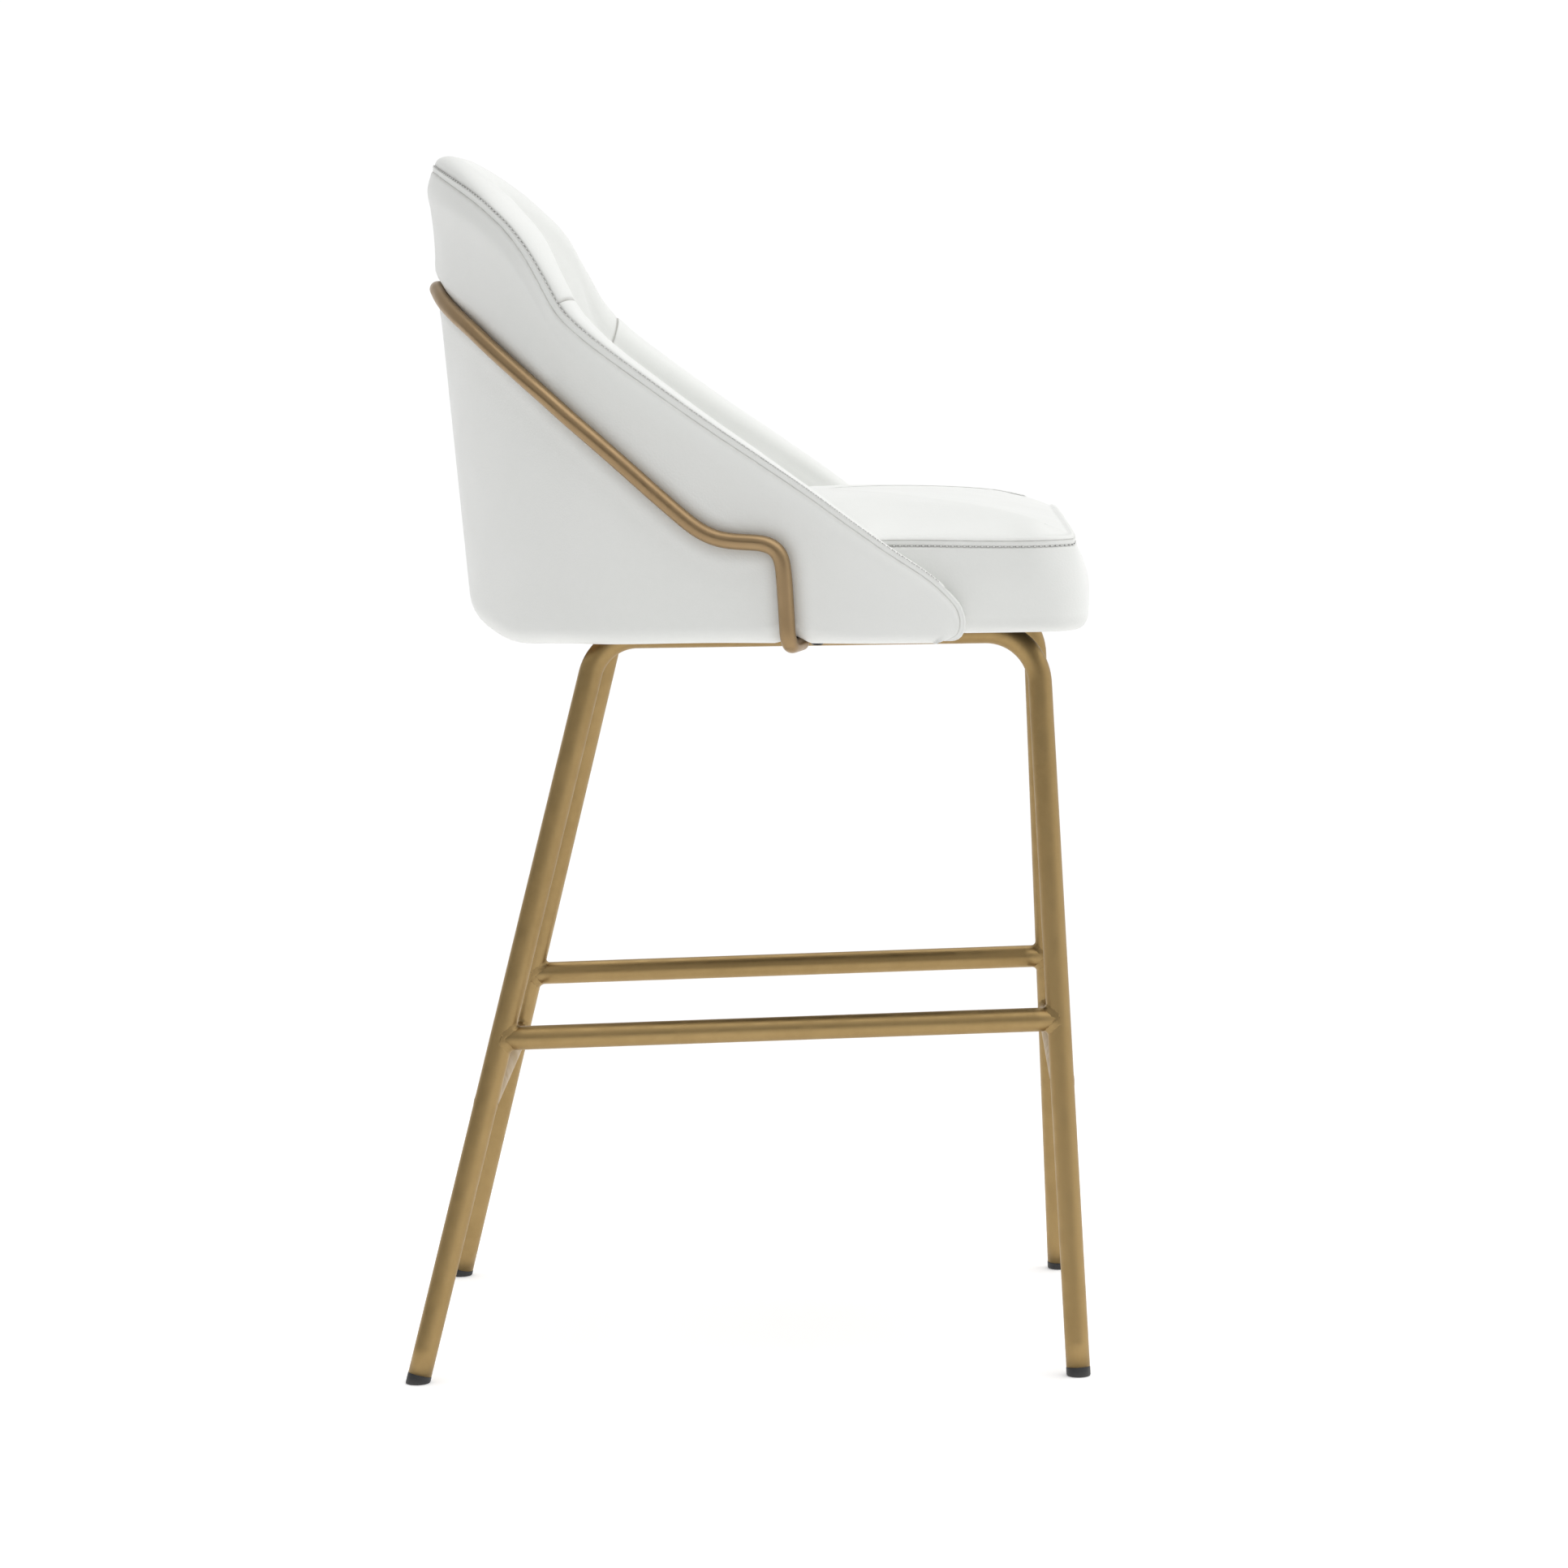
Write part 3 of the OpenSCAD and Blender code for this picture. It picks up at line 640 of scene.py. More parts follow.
def foot_at(a, r):
    """Points round the foot of the face, r from the middle of its turn."""
    z = BASE[:, 1] + TURN - r * math.sin(a)
    k = (EDGE[:, 1] - z) / DROP
    return shell(EDGE[:, 0] + (BASE[:, 0] - EDGE[:, 0]) * k, TURN - r * math.cos(a), z)


def outer_cover():
    skin, hem = 1.6, 2.1
    one = np.ones(len(EDGE))
    hem_k = np.minimum(1, FACE / 12)
    outer, inner = [face_at(0.5 * hem_k, 3.5 * one)], [face_at(1.6 * hem_k, 3.5 * one)]
    for a in np.radians([88, 70, 52, 35, 18, 0]):
        outer.append(face_at(hem * (1 - math.sin(a)) * hem_k, hem * (1 - math.cos(a)) * one))
        inner.append(face_at((hem - (hem - skin) * math.sin(a)) * hem_k,
                             (hem - (hem - skin) * math.cos(a)) * one))
    start = hem * hem_k
    down = [start + (e - hem) * SHORT for e in (3.2, 4.5, 6.5, 9, 12, 16, 21, 27, 34, 42, 51, 60)]
    last = down[-1]
    down += [last + (np.maximum(FACE, last) - last) * k for k in np.linspace(0, 1, 50)[1:]]
    outer += [face_at(e, 0) for e in down]
    inner += [face_at(e, skin) for e in down]
    thin = np.minimum(skin, TURN * 0.7)
    for a in np.radians(np.linspace(0, 90, 9)[1:]):
        outer.append(foot_at(a, TURN))
        inner.append(foot_at(a, TURN - thin))
    for d in (4, 9, 15):
        outer.append(shell(BASE[:, 0], TURN + d, BASE[:, 1]))
        inner.append(shell(BASE[:, 0], TURN + d, BASE[:, 1] + thin))
    loops = np.stack(outer + inner[::-1], 1)
    n = len(outer)
    shade_and_wear = np.zeros((len(EDGE), 2 * n))
    # Painted shade: the hem at the top darkens into the groove under the welt.
    shade_and_wear[:, :8] = [0.8, 0.7, 0.6, 0.5, 0.35, 0.2, 0.1, 0.05]
    # Painted shade on the rows turned in under the shell.
    shade_and_wear[:, n - 5:n] = 0.25
    verts, faces = loft(loops, caps="pairs")
    make_piece("back_outer_cover", verts, faces, HIDE, ["outer_cover"], shade_and_wear)


def bent_ply():
    """Plywood under the cover, turned in with it at the foot and stopped short of the noses."""
    lift, skin = 1.9, 7.1
    keep = np.where(EDGE[:, 1] > 592)[0]
    first = np.minimum(8.0, 0.4 * FACE)
    outer, inner = [], []
    for k in np.linspace(0, 1, 44):
        e = first + (FACE - first) * k
        outer.append(face_at(e, lift))
        inner.append(face_at(e, lift + skin, 0.15))
    for a in np.radians([22, 45, 68, 90]):
        outer.append(foot_at(a, np.maximum(TURN - lift, 0.6)))
        inner.append(foot_at(a, np.maximum(TURN - lift - skin, 0.2)))
    loops = np.stack(outer + inner[::-1], 1)[keep[0]:keep[-1] + 1:2]
    verts, faces = loft(loops, caps="pairs")
    make_piece("bent_ply_shell", verts, faces, PLY, ["shell_board"])


# ---- Welt and stitching round the rim

def rim_welt():
    r, s0, n = ROLL, STRIP, NOSINESS
    deep = EDGE_WALL + 0.4
    low = -1.3 - 7 * n

    def mix(a, b):
        return a + (b - a) * n

    one = np.ones(len(EDGE))
    gather = 1 + 0.06 * wobble(len(EDGE), 2.5, 5, False)
    section = [
        (r + 3.2, mix(-1.2 * one, low)), (r + 2.4, -0.9 * one), (r + 1.2, -0.45 * one),
        (r + 0.75, 0.35 * one), (r + 0.95, 0.3 * s0), (r + 1.2, 0.55 * s0), (r + 1.05, s0 - 0.9),
        (r + 1.35, s0 * gather),
        (mix(r + 2.0, r + 3), s0 + 0.1), (mix(r + 2.6, (r + deep) / 2), mix(s0 - 0.6, s0 + 0.7)),
        (mix(r + 3.1, deep - 2.5), mix(s0 - 1.6, s0)), (mix(r + 3.4, deep), mix(s0 - 2.2, s0 - 2.2)),
        (mix(r + 3.6, deep), mix(s0 * 0.2, -1)), (mix(r + 3.6, deep - 0.3), mix(-1.0 * one, low)),
        (mix(r + 3.4, (r + deep) / 2), mix(-1.2 * one, low))]
    loops = cut_corners(side_by_side(section))
    # The strip narrows to its end under each nose
    tip = (0.4 + 0.6 * ease(EDGE_MID - np.abs(EDGE_AT - EDGE_MID), 0, 12))[:, None]
    loops[:, :, 1] = np.maximum(loops[:, :, 1], 0) * tip + np.minimum(loops[:, :, 1], 0)
    pts = on_edge(np.arange(len(EDGE)), loops)
    # Painted shade: darker in the groove against the cover and along the stitch line.
    shade_and_wear = np.clip(1 - np.abs(loops[:, :, 1] + 0.6) / 0.8, 0, 1) * 0.7 + 0.5 * np.clip(
        1 - np.abs(loops[:, :, 1] - s0[:, None] + 0.2) / 0.6, 0, 1) * (1 - n[:, None])
    verts, faces = loft(pts)
    make_piece("rim_welt", verts, faces, HIDE, ["rim_piping"], shade_and_wear)


def side_by_side(rows):
    """Grid of value pairs, such as (depth, distance beyond the edge), from a pair of rows for
    each line."""
    return np.stack([np.stack(np.broadcast_arrays(d, b), -1) for d, b in rows], 1)


def on_edge(i, loops):
    """Points of such a grid at edge samples i."""
    return edge_point(i[:, None], loops[:, :, 0], loops[:, :, 1])


PITCH, STITCH, THREAD_R = 4.3, 3.1, 0.52


def stitch_row(name, path, up):
    """Row of thread stitches along a path; up is the way the cloth faces."""
    at = lengths(path)
    count = int(at[-1] / PITCH)
    a = turn_by(7)
    shape = [(-1, 0.35, -0.55), (-0.86, 0.8, -0.15), (-0.45, 1, 0.12), (0, 1.04, 0.2), (0.45, 1, 0.12),
             (0.86, 0.8, -0.15), (1, 0.35, -0.55)]
    verts, faces = [], []
    for k in range(count):
        mid = (k + 0.5) * at[-1] / count
        c, ahead, behind = (at_length(x, at, path) for x in (mid, mid + 1.2, mid - 1.2))
        nrm = unit(at_length(mid, at, up))
        t = unit(ahead - behind)
        nrm = unit(nrm - np.dot(nrm, t) * t)
        side = np.cross(t, nrm)
        t = unit(t + side * 0.07)
        rings = [c + t * x * STITCH / 2 + nrm * lift * THREAD_R
                 + THREAD_R * w * circle(a, nrm, side) for x, w, lift in shape]
        v, f = loft(rings)
        base = sum(map(len, verts))
        verts.append(v)
        faces += [tuple(base + q for q in face) for face in f]
    # Painted shade: the ends of each stitch are darkened, for the shade in the stitch holes.
    hole_shade = np.repeat([1, 0.9, 0, 0, 0, 0.9, 1], len(a))
    make_piece(name, np.vstack(verts), faces, SEWING, shade_and_wear=np.tile(hole_shade, count))


def rim_stitching():
    keep = np.where(NOSINESS < 0.35)[0]
    path = edge_point(keep, ROLL[keep] + 2.05, STRIP[keep] + 0.25)
    inner = edge_point(keep, ROLL[keep] + 3.05, STRIP[keep] - 0.9)
    stitch_row("rim_stitching", path, unit(path - inner))


# ---- Pads inside the shell

PAD_LOW = BOARD_Z + BOARD_T + 1.6
PLY_IN = 10.3
# Distance round the plan of the cross seams, which are not quite level with each other
LEFT_SEAM, RIGHT_SEAM = 217.0, 237.0


def pad(name, first, last, nodes, seams):
    """Closed pad between two edge samples: up from the seat, over the rim, down the plywood."""
    idx = np.arange(first, last + 1)
    m = len(idx)
    t, s0, c, r = EDGE_WALL[idx], STRIP[idx], CREST[idx], ROLL[idx]
    drop = 17 * t / 42
    start_d, mid_d = r + 2.9, np.maximum(0.45 * t, r + 5.5)
    rows = [(r + 3.4, s0 - 2.6), (r + 2.95, s0 - 1.2), (start_d, s0 - 0.35)]
    rows += [(mid_d - (mid_d - start_d) * math.cos(a) ** 0.9, s0 + (c - s0) * math.sin(a))
             for a in np.radians([6, 14, 24, 36, 50, 66, 80, 90])]
    rows += [(mid_d + (t - mid_d) * math.sin(a), c - (c + drop) * (1 - math.cos(a)))
             for a in np.radians([8, 17, 27, 37, 47, 57, 67, 77, 90])]
    top = side_by_side(rows)
    pts = on_edge(idx, top)
    Q = EDGE[idx] + EDGE_W[idx] * top[:, -1:, 1]
    limit = BASE_REACH + 14
    base = np.stack([np.clip(EDGE[idx, 0], -limit, limit), np.full(m, PAD_LOW)], 1)
    tall = np.clip((Q[:, 1] - PAD_LOW) / 150, 0.02, 1)
    steps = np.linspace(0, 1, 26)[1:]

    def down(k, depth):
        lz = Q + (base - Q) * k
        return shell(lz[:, 0], depth, np.maximum(lz[:, 1], PAD_LOW))

    front = [down(k, t + 5.0 * tall * math.sin(math.pi * k ** 0.8) ** 0.9) for k in steps]
    back = [down(k, np.minimum(PLY_IN, t - 6)) for k in steps[::-2]]
    under = side_by_side([(np.minimum(PLY_IN, t - 6), -5.0 * np.ones(m)), (r + 4.0, -3.5 * np.ones(m))])
    loops = np.concatenate([pts, np.stack(front + back, 1), on_edge(idx, under)], 1)
    n_top, n_front, n = top.shape[1], len(front), loops.shape[1]
    held = np.zeros((m, n))
    held[:, :5] = 1
    held[:, 5:n_top - 7] = 0.92
    held[:, n_top - 7:n_top] = np.linspace(0.85, 0.1, 7)
    held[:, n_top + n_front - 2:] = 1
    shade_and_wear = np.zeros((m, n))
    # Painted shade where the pad tucks in along the stitched edge.
    shade_and_wear[:, :5] = [0.8, 0.7, 0.6, 0.35, 0.15]
    # The ends turn down into the cross seams
    at = EDGE_AT[idx]
    for end, sewn in ((at[0], seams[0]), (at[-1], seams[1])):
        near = np.abs(at - end)
        held = np.maximum(held, (near < 7)[:, None] * 1.0)
        if sewn:
            sink = 1.5 * np.exp(-(near / 1.6) ** 2) + 0.5 * np.exp(-(near / 6.0) ** 2)
            mid = loops[:, n_top + n_front + 4][:, None]
            lean = unit(mid - loops)
            for j in range(2, n_top + n_front):
                loops[:, j] += lean[:, j] * sink[:, None] * min(1, (j - 1) / 4)
            # Painted shade along the cross seam.
            shade_and_wear = np.maximum(shade_and_wear, (0.75 * np.exp(-(near / 1.3) ** 2))[:, None])
    verts, faces = loft(loops)
    verts = verts + inflate(verts, faces, held.ravel(), voxel=5.5, cap=5.0)
    ob = make_piece(name, verts, faces, HIDE, nodes, shade_and_wear)


def pads():
    a, b = (int(np.argmin(np.abs(EDGE[:, 0] - L) + 1000 * (NOSINESS > 0.9)))
            for L in (-LEFT_SEAM, RIGHT_SEAM))
    tall = np.where(EDGE[:, 1] > 598)[0]
    pad("back_pad", a, b, ["back_inner_panel", "shell_foam"], (True, True))
    pad("left_wing_pad", tall[0], a, ["left_inner_panel"], (False, True))
    pad("right_wing_pad", b, tall[-1], ["right_inner_panel"], (True, False))


# ---- Seat

SEAT_HALF, SEAT_FRONT, CORNER, BOW = 222.0, -266.0, 32.0, 8.0
SEAT_MID = np.array([0.0, -60.0])
CROWN_BACK = 3.0


def seat_outline():
    """Widest line of the seat, seen from above, right of the back centre round to the left."""
    L = np.arange(0, station_to_l(41), 3.0)
    rear = shell(L, wall(L) - 3.0, 640.0)[:, :2]
    side = np.array([[SEAT_HALF, y] for y in (-120, -140, -160, -180, -200)])
    a = np.radians(np.arange(0, 91, 6))
    bend = np.stack([SEAT_HALF - CORNER + CORNER * np.cos(a),
                     SEAT_FRONT + BOW + CORNER - CORNER * np.sin(a)], 1)
    x = np.linspace(SEAT_HALF - CORNER, 0, 12)[1:]
    front = np.stack([x, SEAT_FRONT + BOW * (x / (SEAT_HALF - CORNER)) ** 2], 1)
    half = np.vstack([rear[rear[:, 1] > -112], side, bend, front])
    loop = np.vstack([half, half[-2:0:-1] * [-1, 1]])
    loop = resample(loop, 4.0, closed=True)
    return soften(loop, 1.8, closed=True)


RIM2 = seat_outline()
_tan = unit(np.roll(RIM2, -1, 0) - np.roll(RIM2, 1, 0))
# Outward: the outline runs clockwise
RIM2_N = np.stack([-_tan[:, 1], _tan[:, 0]], 1)
FRONTNESS = ease(-RIM2[:, 1], 214, 246)
ACROSS = np.clip(1 - (RIM2[:, 0] / 205) ** 2, 0, 1)
SEAM_Z = 635.2 - 2.0 * ease(-RIM2[:, 1], 110, 210) + FRONTNESS * 9.0 * ACROSS ** 0.8
SEAM_IN = 1.8 + FRONTNESS * (4.5 + 13.5 * ACROSS)
INSIDE = ease(RIM2[:, 1], -164.5, -160.5)
BAND_LOW = 565.0 + 21.3 * INSIDE
GATHER = 0.5 * wobble(len(RIM2), 1.6, 3) + 0.5 * wobble(len(RIM2), 4.5, 4)


def seat_ring(inset, z):
    p = RIM2 - RIM2_N * np.asarray(inset)[..., None]
    return np.column_stack([p, np.broadcast_to(z, len(RIM2))])


def dome(delta):
    quick = 0.5 - 0.09 * FRONTNESS
    return (quick * (1 - np.exp(-delta / 12)) + (1 - quick) * (1 - np.exp(-delta / 85))) / 0.955


def seat_cushion():
    top_z = 659.2
    loops, held, shade_and_wear = [], [], []

    def add(inset, z, hold, shade_and_wear_level=0.0):
        loops.append(seat_ring(inset, z))
        held.append(hold)
        shade_and_wear.append(shade_and_wear_level)

    f, zs = SEAM_IN, SEAM_Z
    for inset, up in ((10, 0), (4.5, 2), (4.0, 20)):
        add(f + inset, PAD_LOW + up, 1)
    # The fourth number of each row below is painted shade along the seam.
    for inset, up, hold, shade_and_wear_level in ((4.0, -6, 1, 0), (2.6, -2.6, 1, 0.5), (0.9, -1.0, 1, 0.5),
                                  (0.15, -0.2, 1, 0.3), (0.3, 0.7, 0.8, 0.12), (1.0, 1.5, 0.8, 0.12)):
        add(f + inset, zs + up, hold, shade_and_wear_level)
    pucker = GATHER * (1 - 0.5 * FRONTNESS)
    for delta in (2, 3.3, 5, 7, 9.5, 12.5, 16, 20, 25, 31):
        rise = (top_z - zs) * dome(delta) + 0.9 * math.exp(-delta / 6)
        add(f + delta, zs + rise + 0.35 * pucker * hump(delta, 6, 8), 0.6 if delta < 4 else 0)
    ring0 = loops[-1]
    reach = np.linalg.norm(ring0[:, :2] - SEAT_MID, axis=1)
    for c in (0.93, 0.86, 0.78, 0.7, 0.62, 0.54, 0.46, 0.38, 0.3, 0.22, 0.14, 0.07):
        xy = SEAT_MID + (ring0[:, :2] - SEAT_MID) * c
        loops.append(np.column_stack([xy, zs + (top_z - zs) * dome(31 + reach * (1 - c))]))
        held.append(0)
        shade_and_wear.append(0)
    verts, faces = fan_stack(loops, [*SEAT_MID, PAD_LOW], [*SEAT_MID, loops[-1][:, 2].mean()])
    n = len(RIM2)
    hold = np.concatenate([np.repeat(held, n), [1, 0]])
    shade_and_wear_level = np.concatenate([np.repeat(shade_and_wear, n), [0, 0]])
    push = inflate(verts, faces, hold, voxel=6.0, cap=6.0)
    rear = ease(verts[:, 1], -20, 90)
    # The swelling lifts the free top, so it is lowered again
    push[:, 2] -= CROWN_BACK * (1 - hold)
    verts = verts + push * (1 - 0.6 * rear)[:, None]
    ob = make_piece("seat_cushion", verts, faces, HIDE, ["seat_top_panel", "seat_foam"], shade_and_wear_level)


def seat_band():
    f, zs, low = SEAM_IN, SEAM_Z, BAND_LOW
    full = zs - 8.0
    wide = low + 23.0 * (1 - INSIDE) + 4 * INSIDE
    pucker = np.abs(GATHER) * (0.5 + 0.5 * wobble(len(RIM2), 14, 9))
    # Out from the seam and down over the stitched groove: inset, depth below the seam, painted shade
    rows = [(f + inset, zs - down, shade_and_wear_level) for inset, down, shade_and_wear_level in (
        (3.4, 3.0, 0.8), (1.9, 1.5, 0.8), (0.75, 0.55, 0.7), (0.1, 0.9, 0.4), (-0.15, 1.8, 0.15),
        (-0.2, 2.9, 0.1), (-0.05, 3.8, 0.3), (0.75, 4.5, 0.8), (0.75, 5.1, 0.8), (-0.3, 5.9, 0.3),
        (-1.0, 6.9, 0.05))]
    for k in np.linspace(0, 1, 15):
        z = full + (wide - full) * k
        puff = 1.5 * math.sin(math.pi * k) * (1 - FRONTNESS)
        dent = 0.9 * pucker * math.exp(-k * 6)
        rows.append(((f - 1.3) * (1 - math.sin(k * math.pi / 2)) - puff + dent, z, 0))
    turn = np.minimum(8.0, (wide - low) * 0.8)
    rows += [(0.6 * k, wide + (low + turn - wide) * k, 0) for k in (0.35, 0.7)]
    # The rows turned in under the band carry a little painted shade.
    rows += [(0.6 + turn * (1 - math.cos(a)), low + turn * (1 - math.sin(a)), 0.15)
             for a in np.radians([0, 20, 40, 60, 78, 90])]
    rows += [(0.6 + turn + 3, low, 0.3), (0.6 + turn + 7, low + 0.2, 0.3)]
    outer = np.stack([seat_ring(i, z) for i, z, w in rows], 1)
    flat = side_by_side([(i, np.broadcast_to(z, len(RIM2))) for i, z, w in rows])
    tang = np.gradient(flat, axis=1)
    nrm = unit(np.stack([-tang[..., 1], tang[..., 0]], -1))
    in_flat = flat + nrm * 1.5
    in_flat[:, :, 0] = np.maximum(in_flat[:, :, 0], flat[:, :, 0].min(1, keepdims=True) + 0.4)
    inner = np.stack([seat_ring(in_flat[:, j, 0], in_flat[:, j, 1]) for j in range(len(rows))], 1)
    loops = np.concatenate([outer, inner[:, ::-1]], 1)
    shade_and_wear = np.zeros(loops.shape[:2])
    shade_and_wear[:, :len(rows)] = [0.45 * w for i, z, w in rows]
    verts, faces = loft(loops, ring=True)
    make_piece("seat_band_cover", verts, faces, HIDE, ["seat_band"], shade_and_wear)
    show = np.where(RIM2[:, 1] < -60)[0]
    path = seat_ring(f + 0.15, zs - 4.6)[show]
    up = np.column_stack([RIM2_N, np.zeros(len(RIM2))])[show]
    stitch_row("seat_stitching", path, up)


def dust_cover():
    p = RIM2 - RIM2_N * 17
    loop = np.column_stack([p[:, 0], np.minimum(p[:, 1], 160)])
    ripple = 0.12 * wobble(len(loop), 3, 21)
    mid, z1, z0 = np.array([0.0, -50.0]), 569.55, 568.75
    hem = [(1.0, z1), (1.0, z0 - 0.1), (0.97, z0 - 0.15), (0.965, z0 + 0.05)]
    scales = [0.9, 0.8, 0.66, 0.5, 0.34, 0.18]
    rows = [(c, z1) for c in reversed(scales)] + hem + [(c, z0 + 0.06 + ripple * c) for c in scales]
    rings = [np.column_stack([mid + (loop - mid) * c, np.broadcast_to(z, len(loop))]) for c, z in rows]
    verts, faces = fan_stack(rings, [*mid, z1], [*mid, z0 + 0.06])
    ob = make_piece("dust_cover_cloth", verts, faces, DUST, ["dust_cover"])


# ---- Metal frame

TUBE_R, SIDES, CAP_H = 9.0, 40, 7.0
BEND_R = {False: 41.0, True: 37.0}
FOOT_X, TOP_X, TOP_Z = 192.5, 131.4, 559.5
FRONT_FOOT, REAR_FOOT = -246.0, 254.0
TOP = 560.0
# How far each leg leans over that height; the left front leg leans a little more
FRONT_LEAN, REAR_LEAN = {-1: 23.4, 1: 17.4}, 145.7
SPLAY = math.atan((FOOT_X - TOP_X) / TOP)


def leg_point(side, rear, z):
    y = REAR_FOOT - REAR_LEAN * z / TOP if rear else FRONT_FOOT + FRONT_LEAN[side] * z / TOP
    return np.array([side * (FOOT_X - (FOOT_X - TOP_X) * z / TOP), y, z])


def leg_axis(side, rear):
    return unit(leg_point(side, rear, TOP) - leg_point(side, rear, 0))


def from_plane(side, yz):
    """Points of a side frame's own plane, (y, distance up the plane), as points in space."""
    yz = np.atleast_2d(yz)
    return np.column_stack([side * (FOOT_X - yz[:, 1] * math.sin(SPLAY)), yz[:, 0],
                            yz[:, 1] * math.cos(SPLAY)])


def side_tube(side, name, node):
    top = TOP_Z / math.cos(SPLAY)
    pts = []
    for rear in (True, False):
        a = math.atan((REAR_LEAN if rear else -FRONT_LEAN[side]) / (TOP / math.cos(SPLAY)))
        sgn, bend, foot = (1 if rear else -1), BEND_R[rear], (REAR_FOOT if rear else FRONT_FOOT)
        corner_y = foot - top * math.tan(a)
        cut = bend * math.tan((math.pi / 2 - abs(a)) / 2)
        up = np.array([-math.sin(a), math.cos(a)])
        low = np.array([foot, 0]) + up * (CAP_H - 1.5)
        bend_start = np.array([corner_y, top]) - up * cut
        centre = np.array([corner_y - sgn * cut, top - bend])
        part = [low + (bend_start - low) * k for k in np.linspace(0, 1, 26)[:-1]]
        a0 = math.atan2(bend_start[1] - centre[1], bend_start[0] - centre[0])
        part += [centre + bend * np.array([math.cos(q), math.sin(q)])
                 for q in np.linspace(a0, math.pi / 2, 22)]
        if not rear:
            part.reverse()
            pts += [pts[-1] + (part[0] - pts[-1]) * k for k in np.linspace(0, 1, 16)[1:-1]]
        pts += part
    path = from_plane(side, np.array(pts))
    verts, faces = sweep(path, TUBE_R, SIDES, guide=(1, 0, 0))
    z = path[:, 2]
    # Darker just above the foot cap, and painted shade at the top, where the tube runs under the seat.
    shade_and_wear = np.repeat(0.55 * np.exp(-((z - CAP_H) / 5) ** 2) + 0.25 * ease(z, 540, 566), SIDES)
    make_piece(name, verts, faces, TUBE, [node], shade_and_wear)


def straight_bar(name, a, b, node):
    pts = np.array([a + (b - a) * k for k in np.linspace(0, 1, 24)])
    verts, faces = sweep(pts, TUBE_R, SIDES)
    # Darker close to each end, where the bar meets the leg.
    reach = np.minimum(np.linalg.norm(pts - a, axis=1), np.linalg.norm(pts - b, axis=1))
    shade_and_wear = np.repeat(0.5 * np.exp(-((reach - 9) / 9) ** 2), SIDES)
    make_piece(name, verts, faces, TUBE, [node], shade_and_wear)


def weld(name, start, direction, leg_at, leg_dir, seed):
    """Concave weld fillet where a bar of the frame meets a leg. direction points along the bar,
    away from the leg."""
    u, w = unit(direction), unit(leg_dir)
    e1 = unit(np.cross(u, w))
    e2 = np.cross(u, e1)
    n = 64
    ang = turn_by(n)
    lumps = 1 + 0.10 * np.sin(ang * 17 + seed) + 0.10 * wobble(n, 2.0, seed)
    loops = []
    for k, a in enumerate(ang):
        radial = math.cos(a) * e1 + math.sin(a) * e2
        p = start + TUBE_R * radial - leg_at
        side = u - np.dot(u, w) * w
        q = p - np.dot(p, w) * w
        A, B, C = np.dot(side, side), 2 * np.dot(side, q), np.dot(q, q) - TUBE_R ** 2
        t = (-B + math.sqrt(max(B * B - 4 * A * C, 0))) / (2 * A)
        joint = leg_at + p + t * u
        out = unit(joint - (leg_at + w * np.dot(joint - leg_at, w)))
        size = 3.0 * lumps[k]
        on_bar = joint + u * size
        slide = radial - np.dot(radial, out) * out
        slide = unit(slide) if np.linalg.norm(slide) > 1e-6 else w
        on_leg = joint + slide * size
        back = leg_at + w * np.dot(on_leg - leg_at, w)
        on_leg = back + unit(on_leg - back) * TUBE_R
        bulge = unit(radial + out)
        sunk = joint - bulge * 1.4
        loop = [on_bar - radial * 0.35 + u * 0.5]
        for s in np.linspace(0, 1, 7):
            c = joint + bulge * 0.35
            loop.append((1 - s) ** 2 * on_bar + 2 * s * (1 - s) * c + s * s * on_leg
                        + bulge * 0.12 * math.sin(math.pi * s))
        loop += [on_leg - out * 0.35 + slide * 0.5, sunk]
        loops.append(loop)
    verts, faces = loft(loops, ring=True)
    make_piece(name, verts, faces, TUBE, shade_and_wear=np.full(len(verts), 0.45))


def foot_cap(name, side, rear, node):
    axis, foot = leg_axis(side, rear), leg_point(side, rear, 0)
    n = 44
    e1 = unit(np.cross(axis, [0, 1, 0]))
    ring = circle(turn_by(n), e1, np.cross(axis, e1))
    # Level rings on the floor, then square ones up the leg
    loops = [foot + ring * r + axis * ((z - (foot + ring * r)[:, 2]) / axis[2])[:, None]
             for r, z in ((4.0, 0.0), (8.1, 0.0), (8.75, 0.25), (9.15, 0.9))]
    loops += [foot + axis * t + ring * r
              for r, t in ((9.2, 3.4), (9.2, CAP_H - 1.0), (9.1, CAP_H - 0.4), (8.8, CAP_H),
                           (7.6, CAP_H), (7.5, CAP_H + 9))]
    verts, faces = fan_stack(loops, foot, foot + axis * (CAP_H + 9))
    shade_and_wear = np.concatenate([np.repeat([0.9, 0.9, 0.6, 0.3] + [0] * 6, n), [0.9, 0]])
    make_piece(name, verts, faces, CAP, [node], shade_and_wear, sharp=True)


